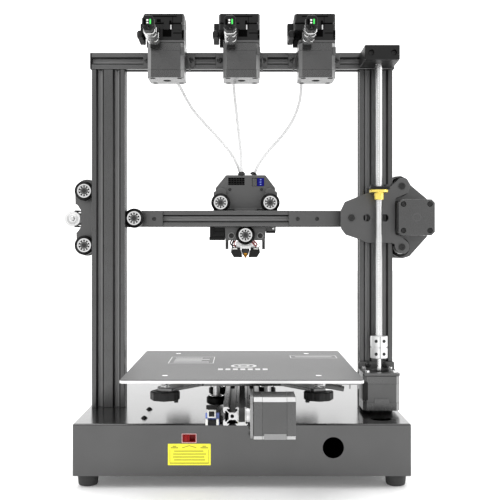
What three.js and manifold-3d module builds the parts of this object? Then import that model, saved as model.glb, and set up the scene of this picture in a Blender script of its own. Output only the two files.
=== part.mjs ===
// A desktop FDM printer with three feeders and one mixing hot end, in millimetres.
// +Z is up, -Y is the printer's rear and +Y its front. The origin is on the ground, under the middle.
import * as THREE from "three";
import { mergeVertices } from "three/addons/utils/BufferGeometryUtils.js";
import Module from "manifold-3d";

const wasm = await Module();
wasm.setup();

// ---- driving dimensions -------------------------------------------------------------------
const GAP = 0.3; // clearance between pieces that touch
const SHEET = 3; // steel plate thickness
const PROFILE = 20; // side of the slotted aluminium profile

const BASE = { x: 185, rear: -166, front: 234, bottom: 14, top: 71, wall: 2 };
const FOOT = { x: 171, inset: 20, r: 12 };
const UPRIGHT = { x: 160.5, y: -60, top: 476.7 };
const TOP_BEAM_Z = 487;
const CAP = 2; // plastic end cap on a profile

const MOTOR = { side: 42.3, corner: 4, length: 39.7, shaft: 2.5 };
const WHEEL = { r: 11.8, width: 10.2, tip: 5.8, bore: 2.8, hub: 7.8, recess: 0.9 };
const AXLE_R = 2.5;

const SCREW = { x: UPRIGHT.x, y: -93, r: 4, top: 490 };
const COUPLER = { r: 10, bottom: 133.6, top: 159.6 };
const Z_MOTOR_TOP = 115.2;

const GANTRY_Z = 298.5; // height of the X beam's middle
const BEAM = { x: 185, y: -32 };
const GANTRY_WHEELS = [
  [-190.6, 331.4], [-190.6, 265.8], [-130.4, GANTRY_Z],
  [190.6, 336.5], [190.6, 263.5], [130.4, GANTRY_Z],
];
const X_PULLEY_X = 204.5;
const X_IDLER_X = -210;
const BELT = { pitch: 6.37, thick: 1.4, width: 6 }; // 20 teeth of 2 mm round each pulley

const CARRIAGE_X = 4;
const CARRIAGE_WHEELS = [[-30.7, 20.1], [30.7, 20.1], [0, -20.1]];
const CARRIAGE_PLATE = { rear: -21, front: -18 };
const NOZZLE = { y: -3, tip: 249.6 };

const RAIL = { z: 84, rear: -190, front: 228 };
const BED = { side: 255, y: -83.9, top: 125.9, thick: 4 };
const BED_CARRIAGE = { bottom: 109.7, top: 113.2 };
const BED_WHEELS = [[-30.1, -88], [30.1, -88], [-30.1, -20], [30.1, -20]];
const LEVEL_KNOBS = [[-82.5, -180], [82.5, -180], [-82.5, 12.2], [82.5, 12.2]];
const Y_MOTOR = { x: 11.9, y: -229, z: 92.8 };

const FEEDER_X = [-87.3, -0.6, 86.1];
const FEEDER = { y: -97, motorTop: 497.7, path: -12, tubeZ: 505 };
const TUBE_R = 2;

// ---- materials ----------------------------------------------------------------------------
function finish(color, roughness, metalness) {
  return new THREE.MeshStandardMaterial({ color, roughness, metalness });
}
const anodised = finish(0x3a3a3d, 0.42, 0.6);
const paintedSteel = finish(0x505052, 0.45, 0.3);
const plateSteel = finish(0x444447, 0.5, 0.3);
const blackPlastic = finish(0x232325, 0.45, 0);
const motorBlack = finish(0x47474a, 0.4, 0.4);
const rubber = finish(0x1a1a1b, 0.8, 0);
const steel = finish(0xd2d2d4, 0.25, 1);
const brass = finish(0xc9a13c, 0.3, 1);
const platform = finish(0x8c8d8f, 0.6, 0.1);
const tubeWhite = finish(0xeceef2, 0.35, 0);
const red = finish(0xb8231c, 0.4, 0);
const board = finish(0x1f5a35, 0.5, 0);

// ---- solids -------------------------------------------------------------------------------
function solidFrom(geometry) {
  const bare = geometry.index ? geometry.clone() : geometry;
  bare.deleteAttribute("normal");
  bare.deleteAttribute("uv");
  const merged = mergeVertices(bare, 1e-4);
  const build = (triVerts) =>
    new wasm.Manifold(
      new wasm.Mesh({ numProp: 3, vertProperties: merged.attributes.position.array, triVerts }),
    );
  const triangles = new Uint32Array(merged.index.array);
  const made = build(triangles);
  if (made.volume() >= 0) return made;
  return build(triangles.reverse());
}

function join(first, ...others) {
  return others.reduce((all, next) => all.add(next), first);
}

function cut(first, ...others) {
  return others.reduce((all, next) => all.subtract(next), first);
}

function box([x0, x1], [y0, y1], [z0, z1]) {
  const geometry = new THREE.BoxGeometry(x1 - x0, y1 - y0, z1 - z0);
  geometry.translate((x0 + x1) / 2, (y0 + y1) / 2, (z0 + z1) / 2);
  return solidFrom(geometry);
}

// Columns are where a drawing's right, up and depth directions point for each axis of extrusion.
const TURNS = {
  x: new THREE.Matrix4().set(0, 0, 1, 0, 1, 0, 0, 0, 0, 1, 0, 0, 0, 0, 0, 1),
  y: new THREE.Matrix4().set(1, 0, 0, 0, 0, 0, 1, 0, 0, 1, 0, 0, 0, 0, 0, 1),
  z: new THREE.Matrix4(),
};

// A flat outline in the two directions across the axis, given thickness from one place to another.
function slab(axis, outline, from, to, holes = []) {
  const shape = outline instanceof THREE.Shape ? outline : new THREE.Shape(outline);
  shape.holes.push(...holes);
  const geometry = new THREE.ExtrudeGeometry(shape, {
    depth: to - from,
    bevelEnabled: false,
    curveSegments: 4,
  });
  geometry.translate(0, 0, from);
  return solidFrom(geometry.applyMatrix4(TURNS[axis]));
}

// A profile of [radius, place along the axis] turned round an axis through the point (u, v).
function turned(axis, [u, v], profile, segments = 16) {
  const closed = profile[0][0] > 0 ? [...profile, profile[0]] : profile;
  const geometry = new THREE.LatheGeometry(
    closed.map(([r, along]) => new THREE.Vector2(r, along)),
    segments,
  );
  geometry.rotateX(Math.PI / 2);
  geometry.translate(u, v, 0);
  return solidFrom(geometry.applyMatrix4(TURNS[axis]));
}

function rod(axis, at, r, from, to, segments = 16) {
  return turned(axis, at, [[0, from], [r, from], [r, to], [0, to]], segments);
}

function circle(u, v, r) {
  return new THREE.Path().absarc(u, v, r, 0, 2 * Math.PI, true);
}

function points(list) {
  return list.map(([u, v]) => new THREE.Vector2(u, v));
}

// The outline round a row of circles, each [u, v, r], in the order of the outline's corners.
function wrapped(circles) {
  const shape = new THREE.Shape();
  circles.forEach(([u, v, r], i) => {
    const before = circles[(i + circles.length - 1) % circles.length];
    const after = circles[(i + 1) % circles.length];
    const inward = tangent(before, [u, v, r]);
    const outward = tangent([u, v, r], after);
    const end = outward < inward ? outward + 2 * Math.PI : outward;
    shape.absarc(u, v, r, inward, end, false);
  });
  return shape;
}

// The direction from a circle's middle to where the outline's next straight side touches it.
function tangent([u0, v0, r0], [u1, v1, r1]) {
  const along = Math.atan2(v1 - v0, u1 - u0);
  return along - Math.acos((r0 - r1) / Math.hypot(u1 - u0, v1 - v0));
}

function chamferedSquare(side, corner) {
  const s = side / 2;
  const c = s - corner;
  return points([[-c, -s], [c, -s], [s, -c], [s, c], [c, s], [-c, s], [-s, c], [-s, -c]]);
}

function moved(outline, du, dv) {
  return outline.map((p) => new THREE.Vector2(p.x + du, p.y + dv));
}

// ---- profiles, wheels and motors ------------------------------------------------------------
// Half of one slot, as [distance from its middle, depth]: a V mouth, a lip and a wider chamber.
const SLOT = [[5, 0], [3.1, 1.9], [3.1, 2.4], [5.6, 2.4], [5.6, 3.4], [3, 6]];

function slottedSection(width, height) {
  const slot = [...SLOT.map(([a, d]) => [-a, d]), ...SLOT.map(([a, d]) => [a, d]).reverse()];
  const outline = [];
  for (let turn = 0; turn < 4; turn++) {
    const [length, across] = turn % 2 ? [height, width] : [width, height];
    const corner = new THREE.Vector2();
    const place = (along, depth) =>
      new THREE.Vector2(along, depth - across / 2).rotateAround(corner, (turn * Math.PI) / 2);
    outline.push(place(-length / 2, 0));
    for (let middle = -length / 2 + PROFILE / 2; middle < length / 2; middle += PROFILE)
      for (const [along, depth] of slot) outline.push(place(middle + along, depth));
  }
  return outline;
}

function wheel(axis, at, middle) {
  const segments = 12;
  const half = WHEEL.width / 2;
  const tip = WHEEL.tip / 2;
  const rim = WHEEL.r - (half - tip);
  const hub = half - WHEEL.recess;
  return turned(axis, at, [
    [WHEEL.bore, middle - hub], [WHEEL.hub, middle - hub], [WHEEL.hub, middle - half],
    [rim, middle - half], [WHEEL.r, middle - tip], [WHEEL.r, middle + tip],
    [rim, middle + half], [WHEEL.hub, middle + half], [WHEEL.hub, middle + hub],
    [WHEEL.bore, middle + hub],
  ], segments);
}

// The bolt that carries a wheel: a spacer from the plate to the wheel, a shank and a nut beyond it.
function axle(axis, at, plate, middle) {
  const side = Math.sign(middle - plate);
  const reach = WHEEL.width / 2 - WHEEL.recess + GAP;
  const ends = (a, b) => (a < b ? [a, b] : [b, a]);
  const nutHeight = 4;
  return join(
    rod(axis, at, 4, ...ends(plate - side, middle - side * reach), 8),
    rod(axis, at, AXLE_R, ...ends(plate - side, middle + side * (reach + 1)), 10),
    rod(axis, at, 4.4, ...ends(middle + side * reach, middle + side * (reach + nutHeight)), 6),
  );
}

function motor(axis, [u, v], from, to, shaftEnd) {
  const body = slab(axis, moved(chamferedSquare(MOTOR.side, MOTOR.corner), u, v), from, to);
  const [a, b] = shaftEnd === "low" ? [from - 1, from + 4] : [to - 4, to + 1];
  return cut(body, rod(axis, [u, v], MOTOR.shaft + GAP, a, b, 12));
}

// A toothed pulley with a shaft; body faces run along the axis from flange to flange.
function pulley(axis, at, middle, hubEnd, shaftEnd) {
  const half = BELT.width / 2 + GAP;
  const core = BELT.pitch - BELT.thick / 2 - GAP;
  const low = hubEnd < middle;
  const step = low ? -1 : 1;
  return turned(axis, at, [
    [0, middle - step * (half + 1)], [8, middle - step * (half + 1)], [8, middle - step * half],
    [core, middle - step * half], [core, middle + step * half], [8, middle + step * half],
    [8, middle + step * (half + 1)], [7.2, middle + step * (half + 1)], [7.2, hubEnd],
    [MOTOR.shaft, hubEnd], [MOTOR.shaft, shaftEnd], [0, shaftEnd],
  ]);
}

// ---- base ---------------------------------------------------------------------------------
const CABLE_HOLE = { x: 156, y: -138, r: 11.5 };
const REAR_HOLE = { x: 99.7, z: 45, r: 11.6 };
const SELECTOR = { x: -57.5, z: 55.4, width: 15, height: 9 };
const INLET = { y: 114, z: 45, width: 25, height: 17, depth: 17 };
const ROCKER = { y: 148, x: -177, z: 45, r: 9.6, width: 13 };
const PANEL = { x0: -65, x1: 95, z0: 20, z1: 65, front: 236 };
const DIAL = { x: 75, z: 42.5, r: 11, shaft: 3, front: 250 };

function baseHousing() {
  const { x, rear, front, bottom, top, wall } = BASE;
  const shell = cut(
    box([-x, x], [rear, front], [bottom, top]),
    box([wall - x, x - wall], [rear + wall, front - wall], [bottom - 1, top - wall]),
  );
  const pocket = box(
    [0.5 - x, INLET.depth + wall - x],
    [INLET.y - INLET.width / 2 - wall, INLET.y + INLET.width / 2 + wall],
    [INLET.z - INLET.height / 2 - wall, INLET.z + INLET.height / 2 + wall],
  );
  const panel = box([PANEL.x0, PANEL.x1], [front - 0.5, PANEL.front], [PANEL.z0, PANEL.z1]);
  const rockerMouth = 7.9;
  return cut(
    join(shell, pocket, panel),
    rod("z", [CABLE_HOLE.x, CABLE_HOLE.y], CABLE_HOLE.r, top - 5, top + 1, 24),
    rod("z", [-110, -81], 3.25, top - 5, top + 1, 12),
    rod("z", [-110, -134], 3.25, top - 5, top + 1, 12),
    rod("y", [REAR_HOLE.x, REAR_HOLE.z], REAR_HOLE.r, rear - 1, rear + 5, 24),
    box(
      [SELECTOR.x - SELECTOR.width / 2, SELECTOR.x + SELECTOR.width / 2],
      [rear - 1, rear + 5],
      [SELECTOR.z - SELECTOR.height / 2, SELECTOR.z + SELECTOR.height / 2],
    ),
    box(
      [-x - 1, INLET.depth - x],
      [INLET.y - INLET.width / 2, INLET.y + INLET.width / 2],
      [INLET.z - INLET.height / 2, INLET.z + INLET.height / 2],
    ),
    box(
      [-x - 1, 5 - x],
      [ROCKER.y - ROCKER.width / 2 - GAP, ROCKER.y + ROCKER.width / 2 + GAP],
      [ROCKER.z - rockerMouth, ROCKER.z + rockerMouth],
    ),
    rod("y", [DIAL.x, DIAL.z], DIAL.shaft + GAP, front - 5, PANEL.front + 1, 12),
  );
}

// The floor pan that closes the housing from below, with the four rubber feet under it.
function baseFloor() {
  const { x, rear, front, bottom, wall } = BASE;
  const inset = wall + GAP;
  const pan = box([inset - x, x - inset], [rear + inset, front - inset], [bottom, bottom + 2]);
  const feet = [];
  for (const side of [-1, 1])
    for (const y of [rear + FOOT.inset, front - FOOT.inset])
      feet.push(
        turned("z", [side * FOOT.x, y], [[0, 0], [FOOT.r - 1.5, 0], [FOOT.r, bottom + 1], [0, bottom + 1]]),
      );
  return join(pan, ...feet);
}

function powerSupply() {
  const body = box([-150, 65], [60, 175], [17, 66]);
  const terminals = box([56, 66], [58, 177], [36, 67]);
  return cut(body, terminals);
}

function controlBoard() {
  const sheet = box([85, 175], [0, 130], [24, 25.6]);
  const chips = [];
  for (let i = 0; i < 5; i++) chips.push(box([92, 106], [8 + i * 22, 22 + i * 22], [25, 36]));
  const terminals = box([160, 172], [10, 120], [25, 37]);
  return join(sheet, terminals, ...chips);
}

function rocker() {
  const low = ROCKER.y - ROCKER.width / 2;
  return rod("y", [ROCKER.x, ROCKER.z], ROCKER.r, low, low + ROCKER.width, 20);
}

function dial() {
  const back = PANEL.front + GAP;
  return turned("y", [DIAL.x, DIAL.z], [
    [0, BASE.front - 8], [DIAL.shaft, BASE.front - 8], [DIAL.shaft, back], [DIAL.r, back],
    [DIAL.r, DIAL.front - 1], [DIAL.r - 1, DIAL.front], [0, DIAL.front],
  ], 24);
}

function selector() {
  const left = SELECTOR.x - SELECTOR.width / 2 + GAP;
  const half = SELECTOR.height / 2 - GAP;
  return join(
    box([left, left + 8], [BASE.rear + 0.4, BASE.rear + 7], [SELECTOR.z - half, SELECTOR.z + half]),
    box([left + 3, left + 5], [BASE.rear - 0.8, BASE.rear + 2], [SELECTOR.z - half, SELECTOR.z + half]),
  );
}

// ---- portal -------------------------------------------------------------------------------
function upright(side) {
  const section = moved(slottedSection(2 * PROFILE, PROFILE), side * UPRIGHT.x, UPRIGHT.y);
  return slab("z", section, BASE.top + GAP, UPRIGHT.top);
}

function topBeam() {
  const half = PROFILE / 2;
  const end = UPRIGHT.x + PROFILE;
  const section = moved(slottedSection(PROFILE, PROFILE), UPRIGHT.y, TOP_BEAM_Z);
  const cap = (a, b) =>
    box([a, b], [UPRIGHT.y - half, UPRIGHT.y + half], [TOP_BEAM_Z - half, TOP_BEAM_Z + half]);
  return join(slab("x", section, -end, end), cap(-end - CAP, -end), cap(end, end + CAP));
}

// The block under the top beam's end that holds the screw's upper bearing.
function screwTopBracket() {
  const face = UPRIGHT.y - PROFILE / 2 - GAP;
  const block = box([SCREW.x - PROFILE, SCREW.x + PROFILE], [-120, face], [478, 495]);
  return cut(
    block,
    rod("z", [SCREW.x, SCREW.y], SCREW.r + GAP, 470, 500, 16),
    rod("y", [SCREW.x - 12.5, 486.5], 3.2, -121, -112, 12),
    rod("y", [SCREW.x + 13.5, 486.5], 3.2, -121, -112, 12),
  );
}

function zMotorBracket() {
  const face = UPRIGHT.y - PROFILE / 2 - GAP;
  const low = Z_MOTOR_TOP + GAP;
  const half = MOTOR.side / 2 + 0.3;
  const shelf = box([SCREW.x - half, SCREW.x + half], [SCREW.y - half, face], [low, low + SHEET]);
  const flange = box([SCREW.x - half, SCREW.x + half], [face - SHEET, face], [low, 126.6]);
  return cut(join(shelf, flange), rod("z", [SCREW.x, SCREW.y], 11.3, low - 1, low + SHEET + 1, 20));
}

function leadScrew() {
  const at = [SCREW.x, SCREW.y];
  return join(
    rod("z", at, MOTOR.shaft, Z_MOTOR_TOP - 3, COUPLER.bottom + 1, 12),
    turned("z", at, [
      [0, COUPLER.bottom], [COUPLER.r, COUPLER.bottom], [COUPLER.r, 146], [COUPLER.r - 1, 146],
      [COUPLER.r - 1, 147.2], [COUPLER.r, 147.2], [COUPLER.r, COUPLER.top], [0, COUPLER.top],
    ], 24),
    rod("z", at, SCREW.r, COUPLER.top - 1, SCREW.top, 16),
  );
}

// ---- Y axis -------------------------------------------------------------------------------
// The flat rail that the bed runs on, with the motor's bracket on its rear end.
function yRail() {
  const shape = new THREE.Shape(moved(slottedSection(2 * PROFILE, PROFILE), 0, RAIL.z));
  const hollow = points([[-4.4, -5], [-4.4, 5], [4.4, 5], [4.4, -5]]);
  const rail = slab("y", shape, RAIL.rear, RAIL.front, [new THREE.Path(moved(hollow, 0, RAIL.z))]);
  const half = MOTOR.side / 2;
  const side = [Y_MOTOR.x - GAP - SHEET, Y_MOTOR.x - GAP];
  const cheek = cut(
    box(side, [Y_MOTOR.y - half, RAIL.rear], [Y_MOTOR.z - half + 0.5, Y_MOTOR.z + half]),
    rod("x", [Y_MOTOR.y, Y_MOTOR.z], 11.3, side[0] - 1, side[1] + 1, 20),
  );
  const foot = box([side[0], PROFILE], [RAIL.rear - SHEET, RAIL.rear + 0.5], [74.5, 93.5]);
  return join(rail, cheek, foot);
}

function buildPlate() {
  const half = BED.side / 2;
  const corners = [[-1, -1], [1, -1], [1, 1], [-1, 1]];
  const r = 4;
  const outline = wrapped(corners.map(([a, b]) => [a * (half - r), BED.y + b * (half - r), r]));
  return slab("z", outline, BED.top - BED.thick, BED.top);
}

// The X-shaped plate under the bed, with the wheels' bolts below it and the bed's posts above it.
function bedCarriage() {
  const { bottom, top } = BED_CARRIAGE;
  const arm = ([x, y]) => {
    const inner = [Math.sign(x) * 18, y < BED.y ? -112 : -56, 24];
    return slab("z", wrapped([[x, y, 10], inner]), bottom, top);
  };
  const hub = box([-44, 44], [-150, -10], [bottom, top]);
  const window = slab("z", wrapped([[-14, -84, 8], [14, -84, 8]]), bottom - 1, top + 1);
  const sheet = cut(join(hub, ...LEVEL_KNOBS.map(arm)), window);
  const posts = LEVEL_KNOBS.map((at) =>
    join(
      rod("z", at, 2, 97, top + 1, 8),
      rod("z", at, 4.5, top - 1, BED.top - BED.thick - GAP, 10),
    ),
  );
  return join(sheet, ...posts, ...BED_WHEELS.map((at) => axle("z", at, bottom, RAIL.z)));
}

function levelKnob(at) {
  const { bottom } = BED_CARRIAGE;
  const lobes = 8;
  const shape = new THREE.Shape();
  for (let i = 0; i < lobes * 4; i++) {
    const angle = (i / (lobes * 4)) * 2 * Math.PI;
    const r = 15.2 + 0.8 * Math.cos(lobes * angle);
    const [x, y] = [at[0] + r * Math.cos(angle), at[1] + r * Math.sin(angle)];
    if (i) shape.lineTo(x, y);
    else shape.moveTo(x, y);
  }
  return slab("z", shape, bottom - GAP - 10.4, bottom - GAP, [circle(at[0], at[1], 2 + GAP)]);
}

// ---- gantry -------------------------------------------------------------------------------
const LEFT_PLATE = { rear: -48, front: -45 };
const REAR_PLATE = { rear: -76, front: -73 };
const BAR = { rear: -47, front: -42.3 }; // strap between an end plate and the beam's rear face

function beam() {
  const section = moved(slottedSection(PROFILE, PROFILE), BEAM.y, GANTRY_Z);
  const half = PROFILE / 2;
  const fork = box([-219, -168], [BEAM.y + half - 0.5, BEAM.y + half + 2.5], [291, 306]);
  const pin = rod("y", [X_IDLER_X, GANTRY_Z], AXLE_R, BEAM.y - 8, BEAM.y + half + 1, 10);
  return join(slab("x", section, -BEAM.x, BEAM.x), fork, pin);
}

function strap(x0, x1) {
  return box([x0, x1], [BAR.rear, BAR.front], [GANTRY_Z - 9.5, GANTRY_Z + 9.5]);
}

function leftPlate() {
  const [top, low, inner] = GANTRY_WHEELS;
  const outline = wrapped([[...inner, 12], [top[0] + 1, top[1], 15], [low[0] + 1, low[1], 13]]);
  const notch = points([[-215, 315.8], [-202, 315.8], [-197.3, 308.4], [-197.3, 288.4], [-202, 281.4],
    [-215, 281.4]]);
  const { rear, front } = LEFT_PLATE;
  const sheet = cut(slab("y", outline, rear, front), slab("y", notch, rear - 1, front + 1));
  return join(
    cut(sheet, rod("y", [-187.5, 299], 2.5, rear - 1, front + 1, 10)),
    strap(-184, -97.4),
    ...GANTRY_WHEELS.slice(0, 3).map((at) => axle("y", at, rear, UPRIGHT.y)),
  );
}

function rightFrontPlate() {
  const { rear, front } = LEFT_PLATE;
  const outline = points([[178, 252], [185.1, 250.3], [196.7, 249.8], [204.9, 252.4], [226.5, 276.5],
    [226.5, 322.4], [206.4, 339.1], [202, 347], [194, 350.8], [186, 350], [178, 344]]);
  const sheet = slab("y", outline, rear, front);
  const boss = rod("y", [X_PULLEY_X, GANTRY_Z], 11.3, rear - 1, front + 1, 20);
  return join(cut(sheet, boss), strap(57, 188));
}

// The plate behind the right upright, with its nut tab and the bolts of the three right wheels.
function rightRearPlate() {
  const { rear, front } = REAR_PLATE;
  const outline = points([[117.5, 307.1], [117.5, 288.3], [118.6, 285], [123.5, 278.4], [139.4, 273],
    [148.2, 268.5], [178.8, 268.5], [181.8, 266.6], [183.6, 259.5], [188, 255.9], [194, 255.7],
    [198.6, 259.5], [199.6, 264.5], [197.6, 269.6], [190.3, 276.3], [182.8, 279], [182.8, 321.4],
    [197.7, 327.8], [200, 335], [198.4, 342], [193, 345.9], [187.8, 345.6], [174.9, 334.3],
    [151, 328.8], [139.4, 324.4], [122.5, 317.5]]);
  const sheet = slab("y", outline, rear, front, [
    circle(148.7, GANTRY_Z, 4.2),
    circle(170.5, GANTRY_Z, 4.2),
  ]);
  const lip = box([151, 174], [rear, front], [320, 334.3]);
  const tab = box([149, 172], [SCREW.y - 12, rear + 0.5], [331.3, 334.3]);
  const passage = rod("z", [SCREW.x, SCREW.y], 6, 330, 336, 16);
  const bolts = GANTRY_WHEELS.slice(3).map(([x, z]) =>
    join(
      rod("y", [x, z], 4, front - 1, UPRIGHT.y - WHEEL.width / 2 + WHEEL.recess - GAP, 8),
      rod("y", [x, z], AXLE_R, front - 1, LEFT_PLATE.rear - GAP, 10),
    ),
  );
  return join(sheet, lip, cut(tab, passage), ...bolts);
}

function leadNut() {
  return turned("z", [SCREW.x, SCREW.y], [
    [SCREW.r + GAP, 319], [5.6, 319], [5.6, 326.5], [11, 326.5], [11, 331], [SCREW.r + GAP, 331],
  ], 20);
}

function stadium(r) {
  return wrapped([[X_IDLER_X, GANTRY_Z, r], [X_PULLEY_X, GANTRY_Z, r]]);
}

function xBelt() {
  const half = BELT.width / 2;
  const hole = new THREE.Path(stadium(BELT.pitch - BELT.thick / 2).getPoints(6));
  return slab("y", stadium(BELT.pitch + BELT.thick / 2), BEAM.y - half, BEAM.y + half, [hole]);
}

function xIdler() {
  const half = BELT.width / 2 + GAP;
  const core = BELT.pitch - BELT.thick / 2 - GAP;
  const y = BEAM.y;
  return turned("y", [X_IDLER_X, GANTRY_Z], [
    [AXLE_R + GAP, y - half - 1.2], [10, y - half - 1.2], [10, y - half], [core, y - half],
    [core, y + half], [10, y + half], [10, y + half + 1.2], [AXLE_R + GAP, y + half + 1.2],
  ]);
}

// ---- carriage -----------------------------------------------------------------------------
function carriagePlate() {
  const { rear, front } = CARRIAGE_PLATE;
  const outline = points([[-36, 312], [-36, 332], [-26, 340], [34, 340], [44, 332], [44, 312], [30, 294],
    [28.6, 272], [-21.2, 272], [-22, 294]]);
  const sheet = slab("y", outline, rear, front);
  const bolts = CARRIAGE_WHEELS.map(([x, z]) =>
    axle("y", [CARRIAGE_X + x, GANTRY_Z + z], rear, BEAM.y),
  );
  return join(sheet, ...bolts);
}

function hotendCover() {
  const back = CARRIAGE_PLATE.front + GAP;
  const outline = points([[-33.7, 301], [-33.7, 338.2], [-19.6, 354.1], [28.1, 354.1], [41.7, 338.2],
    [41.7, 301]]);
  const shell = slab("y", outline, back, 25);
  const louvres = [];
  for (let i = 0; i < 4; i++) louvres.push(box([-16, 24], [23, 26], [310 + i * 8, 313 + i * 8]));
  return cut(shell, ...louvres);
}

// Heat sink, heater block, nozzle and the fan duct round them.
function hotEnd() {
  const back = CARRIAGE_PLATE.front + GAP;
  const at = [CARRIAGE_X, NOZZLE.y];
  const sink = turned("z", at, [
    [0, 268], [3, 268], [3, 271], [11, 271], [11, 274], [8, 274], [8, 277], [11, 277], [11, 280],
    [8, 280], [8, 283], [11, 283], [11, 300.5], [0, 300.5],
  ]);
  const block = box([-6, 14], [-11, 9], [256.5, 268.5]);
  const nozzle = turned("z", at, [[0, NOZZLE.tip], [0.8, NOZZLE.tip], [3.4, 254], [3.4, 257], [0, 257]], 12);
  const shroud = box([-21.2, 28.6], [back, 12], [284, 300.5]);
  const legs = [[-21.2, -15.3], [24.8, 28.6]].map((x) => box(x, [back, -10], [254, 285]));
  const duct = box([-21.2, 28.6], [back, -12.5], [253, 260.6]);
  const blower = box([-41, -21], [back, 8], [271.5, 299]);
  const probe = box([28, 42.2], [back, -4], [281, 299]);
  return join(shroud, sink, block, nozzle, ...legs, duct, blower, probe);
}

// ---- feeders ------------------------------------------------------------------------------
const FEEDER_BOX = { left: -26, right: 21.15, rear: -118, front: -76, z0: 500, z1: 531.5 };
const LEVER = { x: -29.7, y: -84, half: 3.3, z0: 503, z1: 511, tip: -122 };

// Bracket, gear housing, filament sensor and the fittings in front of and behind it.
function feederBody(x) {
  const half = MOTOR.side / 2;
  const face = UPRIGHT.y - PROFILE / 2 - GAP;
  const shelfLow = FEEDER.motorTop + GAP;
  const path = x + FEEDER.path;
  const { left, right, rear, front, z0, z1 } = FEEDER_BOX;
  const shelf = box([x - half, x + half], [FEEDER.y - half, face], [shelfLow, shelfLow + SHEET]);
  const flange = box([x - 31, x + 31], [face - SHEET, face], [478, shelfLow + SHEET]);
  const housing = cut(
    box([x + left, x + right], [rear, front], [z0, z1]),
    box([x + left - 1, x - 17], [rear - 1, -82], [LEVER.z0 - 1, LEVER.z1 + 1]),
    box([x + left - 1, x + right + 1], [rear - 1, rear + 1], [519.4, 520.4]),
  );
  const hinge = box([x + LEVER.x - 3, x + left + 4], [LEVER.y - 3, front], [LEVER.z1 + GAP, z1 - 4]);
  const pin = rod("z", [x + LEVER.x, LEVER.y], 1.5, LEVER.z0, LEVER.z1 + 2, 10);
  const inlet = rod("y", [path, 496], 4.5, -168, -120, 12);
  const stem = box([path - 5, path + 5], [-126, rear - 0.5], [490, 515]);
  const neck = box([path - 5, path + 5], [rear - 1, rear + 1], [shelfLow + SHEET, 515]);
  const sensor = box([path - 6.5, path + 6.5], [-195, -166], [491, 513]);
  const outlet = rod("y", [path, FEEDER.tubeZ], 4.5, front - 1, -50.6, 12);
  return join(shelf, flange, housing, hinge, pin, stem, neck, inlet, sensor, outlet);
}

// The spring arm that presses the filament on the drive gear, on an upright pin.
function feederLever(x) {
  const { half, z0, z1, tip } = LEVER;
  const at = [x + LEVER.x, LEVER.y];
  const arm = slab("z", wrapped([[at[0], at[1], half], [at[0] + 0.4, tip + 3, half - 0.4]]), z0, z1);
  return cut(arm, rod("z", at, 1.5 + GAP, z0 - 1, z1 + 1, 12));
}

// Bowden tubes, from each feeder's outlet over the top beam and down to the hot end's inlets.
const TUBE_ROUTES = [
  [[-99.3, -49.7, 505], [-98.6, -38, 503], [-92.5, -28, 489], [-79.9, -25, 467.7], [-62.8, -23, 437.1],
    [-45.9, -19, 417.5], [-24, -12, 394.1], [-10, -3, 375.5], [-1.8, 4.5, 357]],
  [[-12.6, -49.7, 505], [-12.5, -38, 502.5], [-11.8, -29, 488], [-10.7, -26, 466], [-7.8, -23, 436],
    [-4, -20, 402.8], [-1.4, -16.5, 375], [-1, -14.5, 357]],
  [[74.1, -49.7, 505], [74.2, -38, 503], [74.2, -28, 489], [73.8, -25, 464.7], [71.5, -23, 444.8],
    [63.6, -20, 423.3], [51.8, -16, 405.7], [33.9, -11, 386.1], [22, -7, 370.5], [15, -5, 357]],
];

function bowdenTube(route) {
  const path = new THREE.CatmullRomCurve3(route.map((p) => new THREE.Vector3(...p)), false, "centripetal");
  const section = new THREE.Shape();
  section.absarc(0, 0, TUBE_R, 0, 2 * Math.PI, false);
  const geometry = new THREE.ExtrudeGeometry(section, { steps: 24, extrudePath: path, curveSegments: 4 });
  return solidFrom(geometry);
}

// ---- the assembly ---------------------------------------------------------------------------
const printer = new THREE.Group();

function group(parent) {
  const made = new THREE.Group();
  parent.add(made);
  return made;
}

function add(parent, name, material, solid) {
  const { numProp, vertProperties, triVerts } = solid.getMesh();
  const positions = new Float32Array((vertProperties.length / numProp) * 3);
  for (let i = 0; i < positions.length / 3; i++)
    positions.set(vertProperties.subarray(i * numProp, i * numProp + 3), i * 3);
  const geometry = new THREE.BufferGeometry();
  geometry.setAttribute("position", new THREE.BufferAttribute(positions, 3));
  geometry.setIndex(new THREE.BufferAttribute(triVerts, 1));
  geometry.computeVertexNormals();
  const mesh = new THREE.Mesh(geometry, material);
  mesh.name = name;
  parent.add(mesh);
}

const base = group(printer);
add(base, "base_housing", paintedSteel, baseHousing());
add(base, "base_floor", plateSteel, baseFloor());
add(base, "power_supply", steel, powerSupply());
add(base, "control_board", board, controlBoard());
add(base, "voltage_switch", red, selector());
add(base, "power_rocker", blackPlastic, rocker());
add(base, "control_knob", blackPlastic, dial());

const portal = group(printer);
add(portal, "left_upright", anodised, upright(-1));
add(portal, "right_upright", anodised, upright(1));
add(portal, "top_beam", anodised, topBeam());
add(portal, "screw_top_bracket", blackPlastic, screwTopBracket());
add(portal, "z_motor_bracket", plateSteel, zMotorBracket());
const zMotorFrom = Z_MOTOR_TOP - MOTOR.length;
add(portal, "z_motor", motorBlack, motor("z", [SCREW.x, SCREW.y], zMotorFrom, Z_MOTOR_TOP, "high"));
add(portal, "lead_screw", steel, leadScrew());

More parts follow.
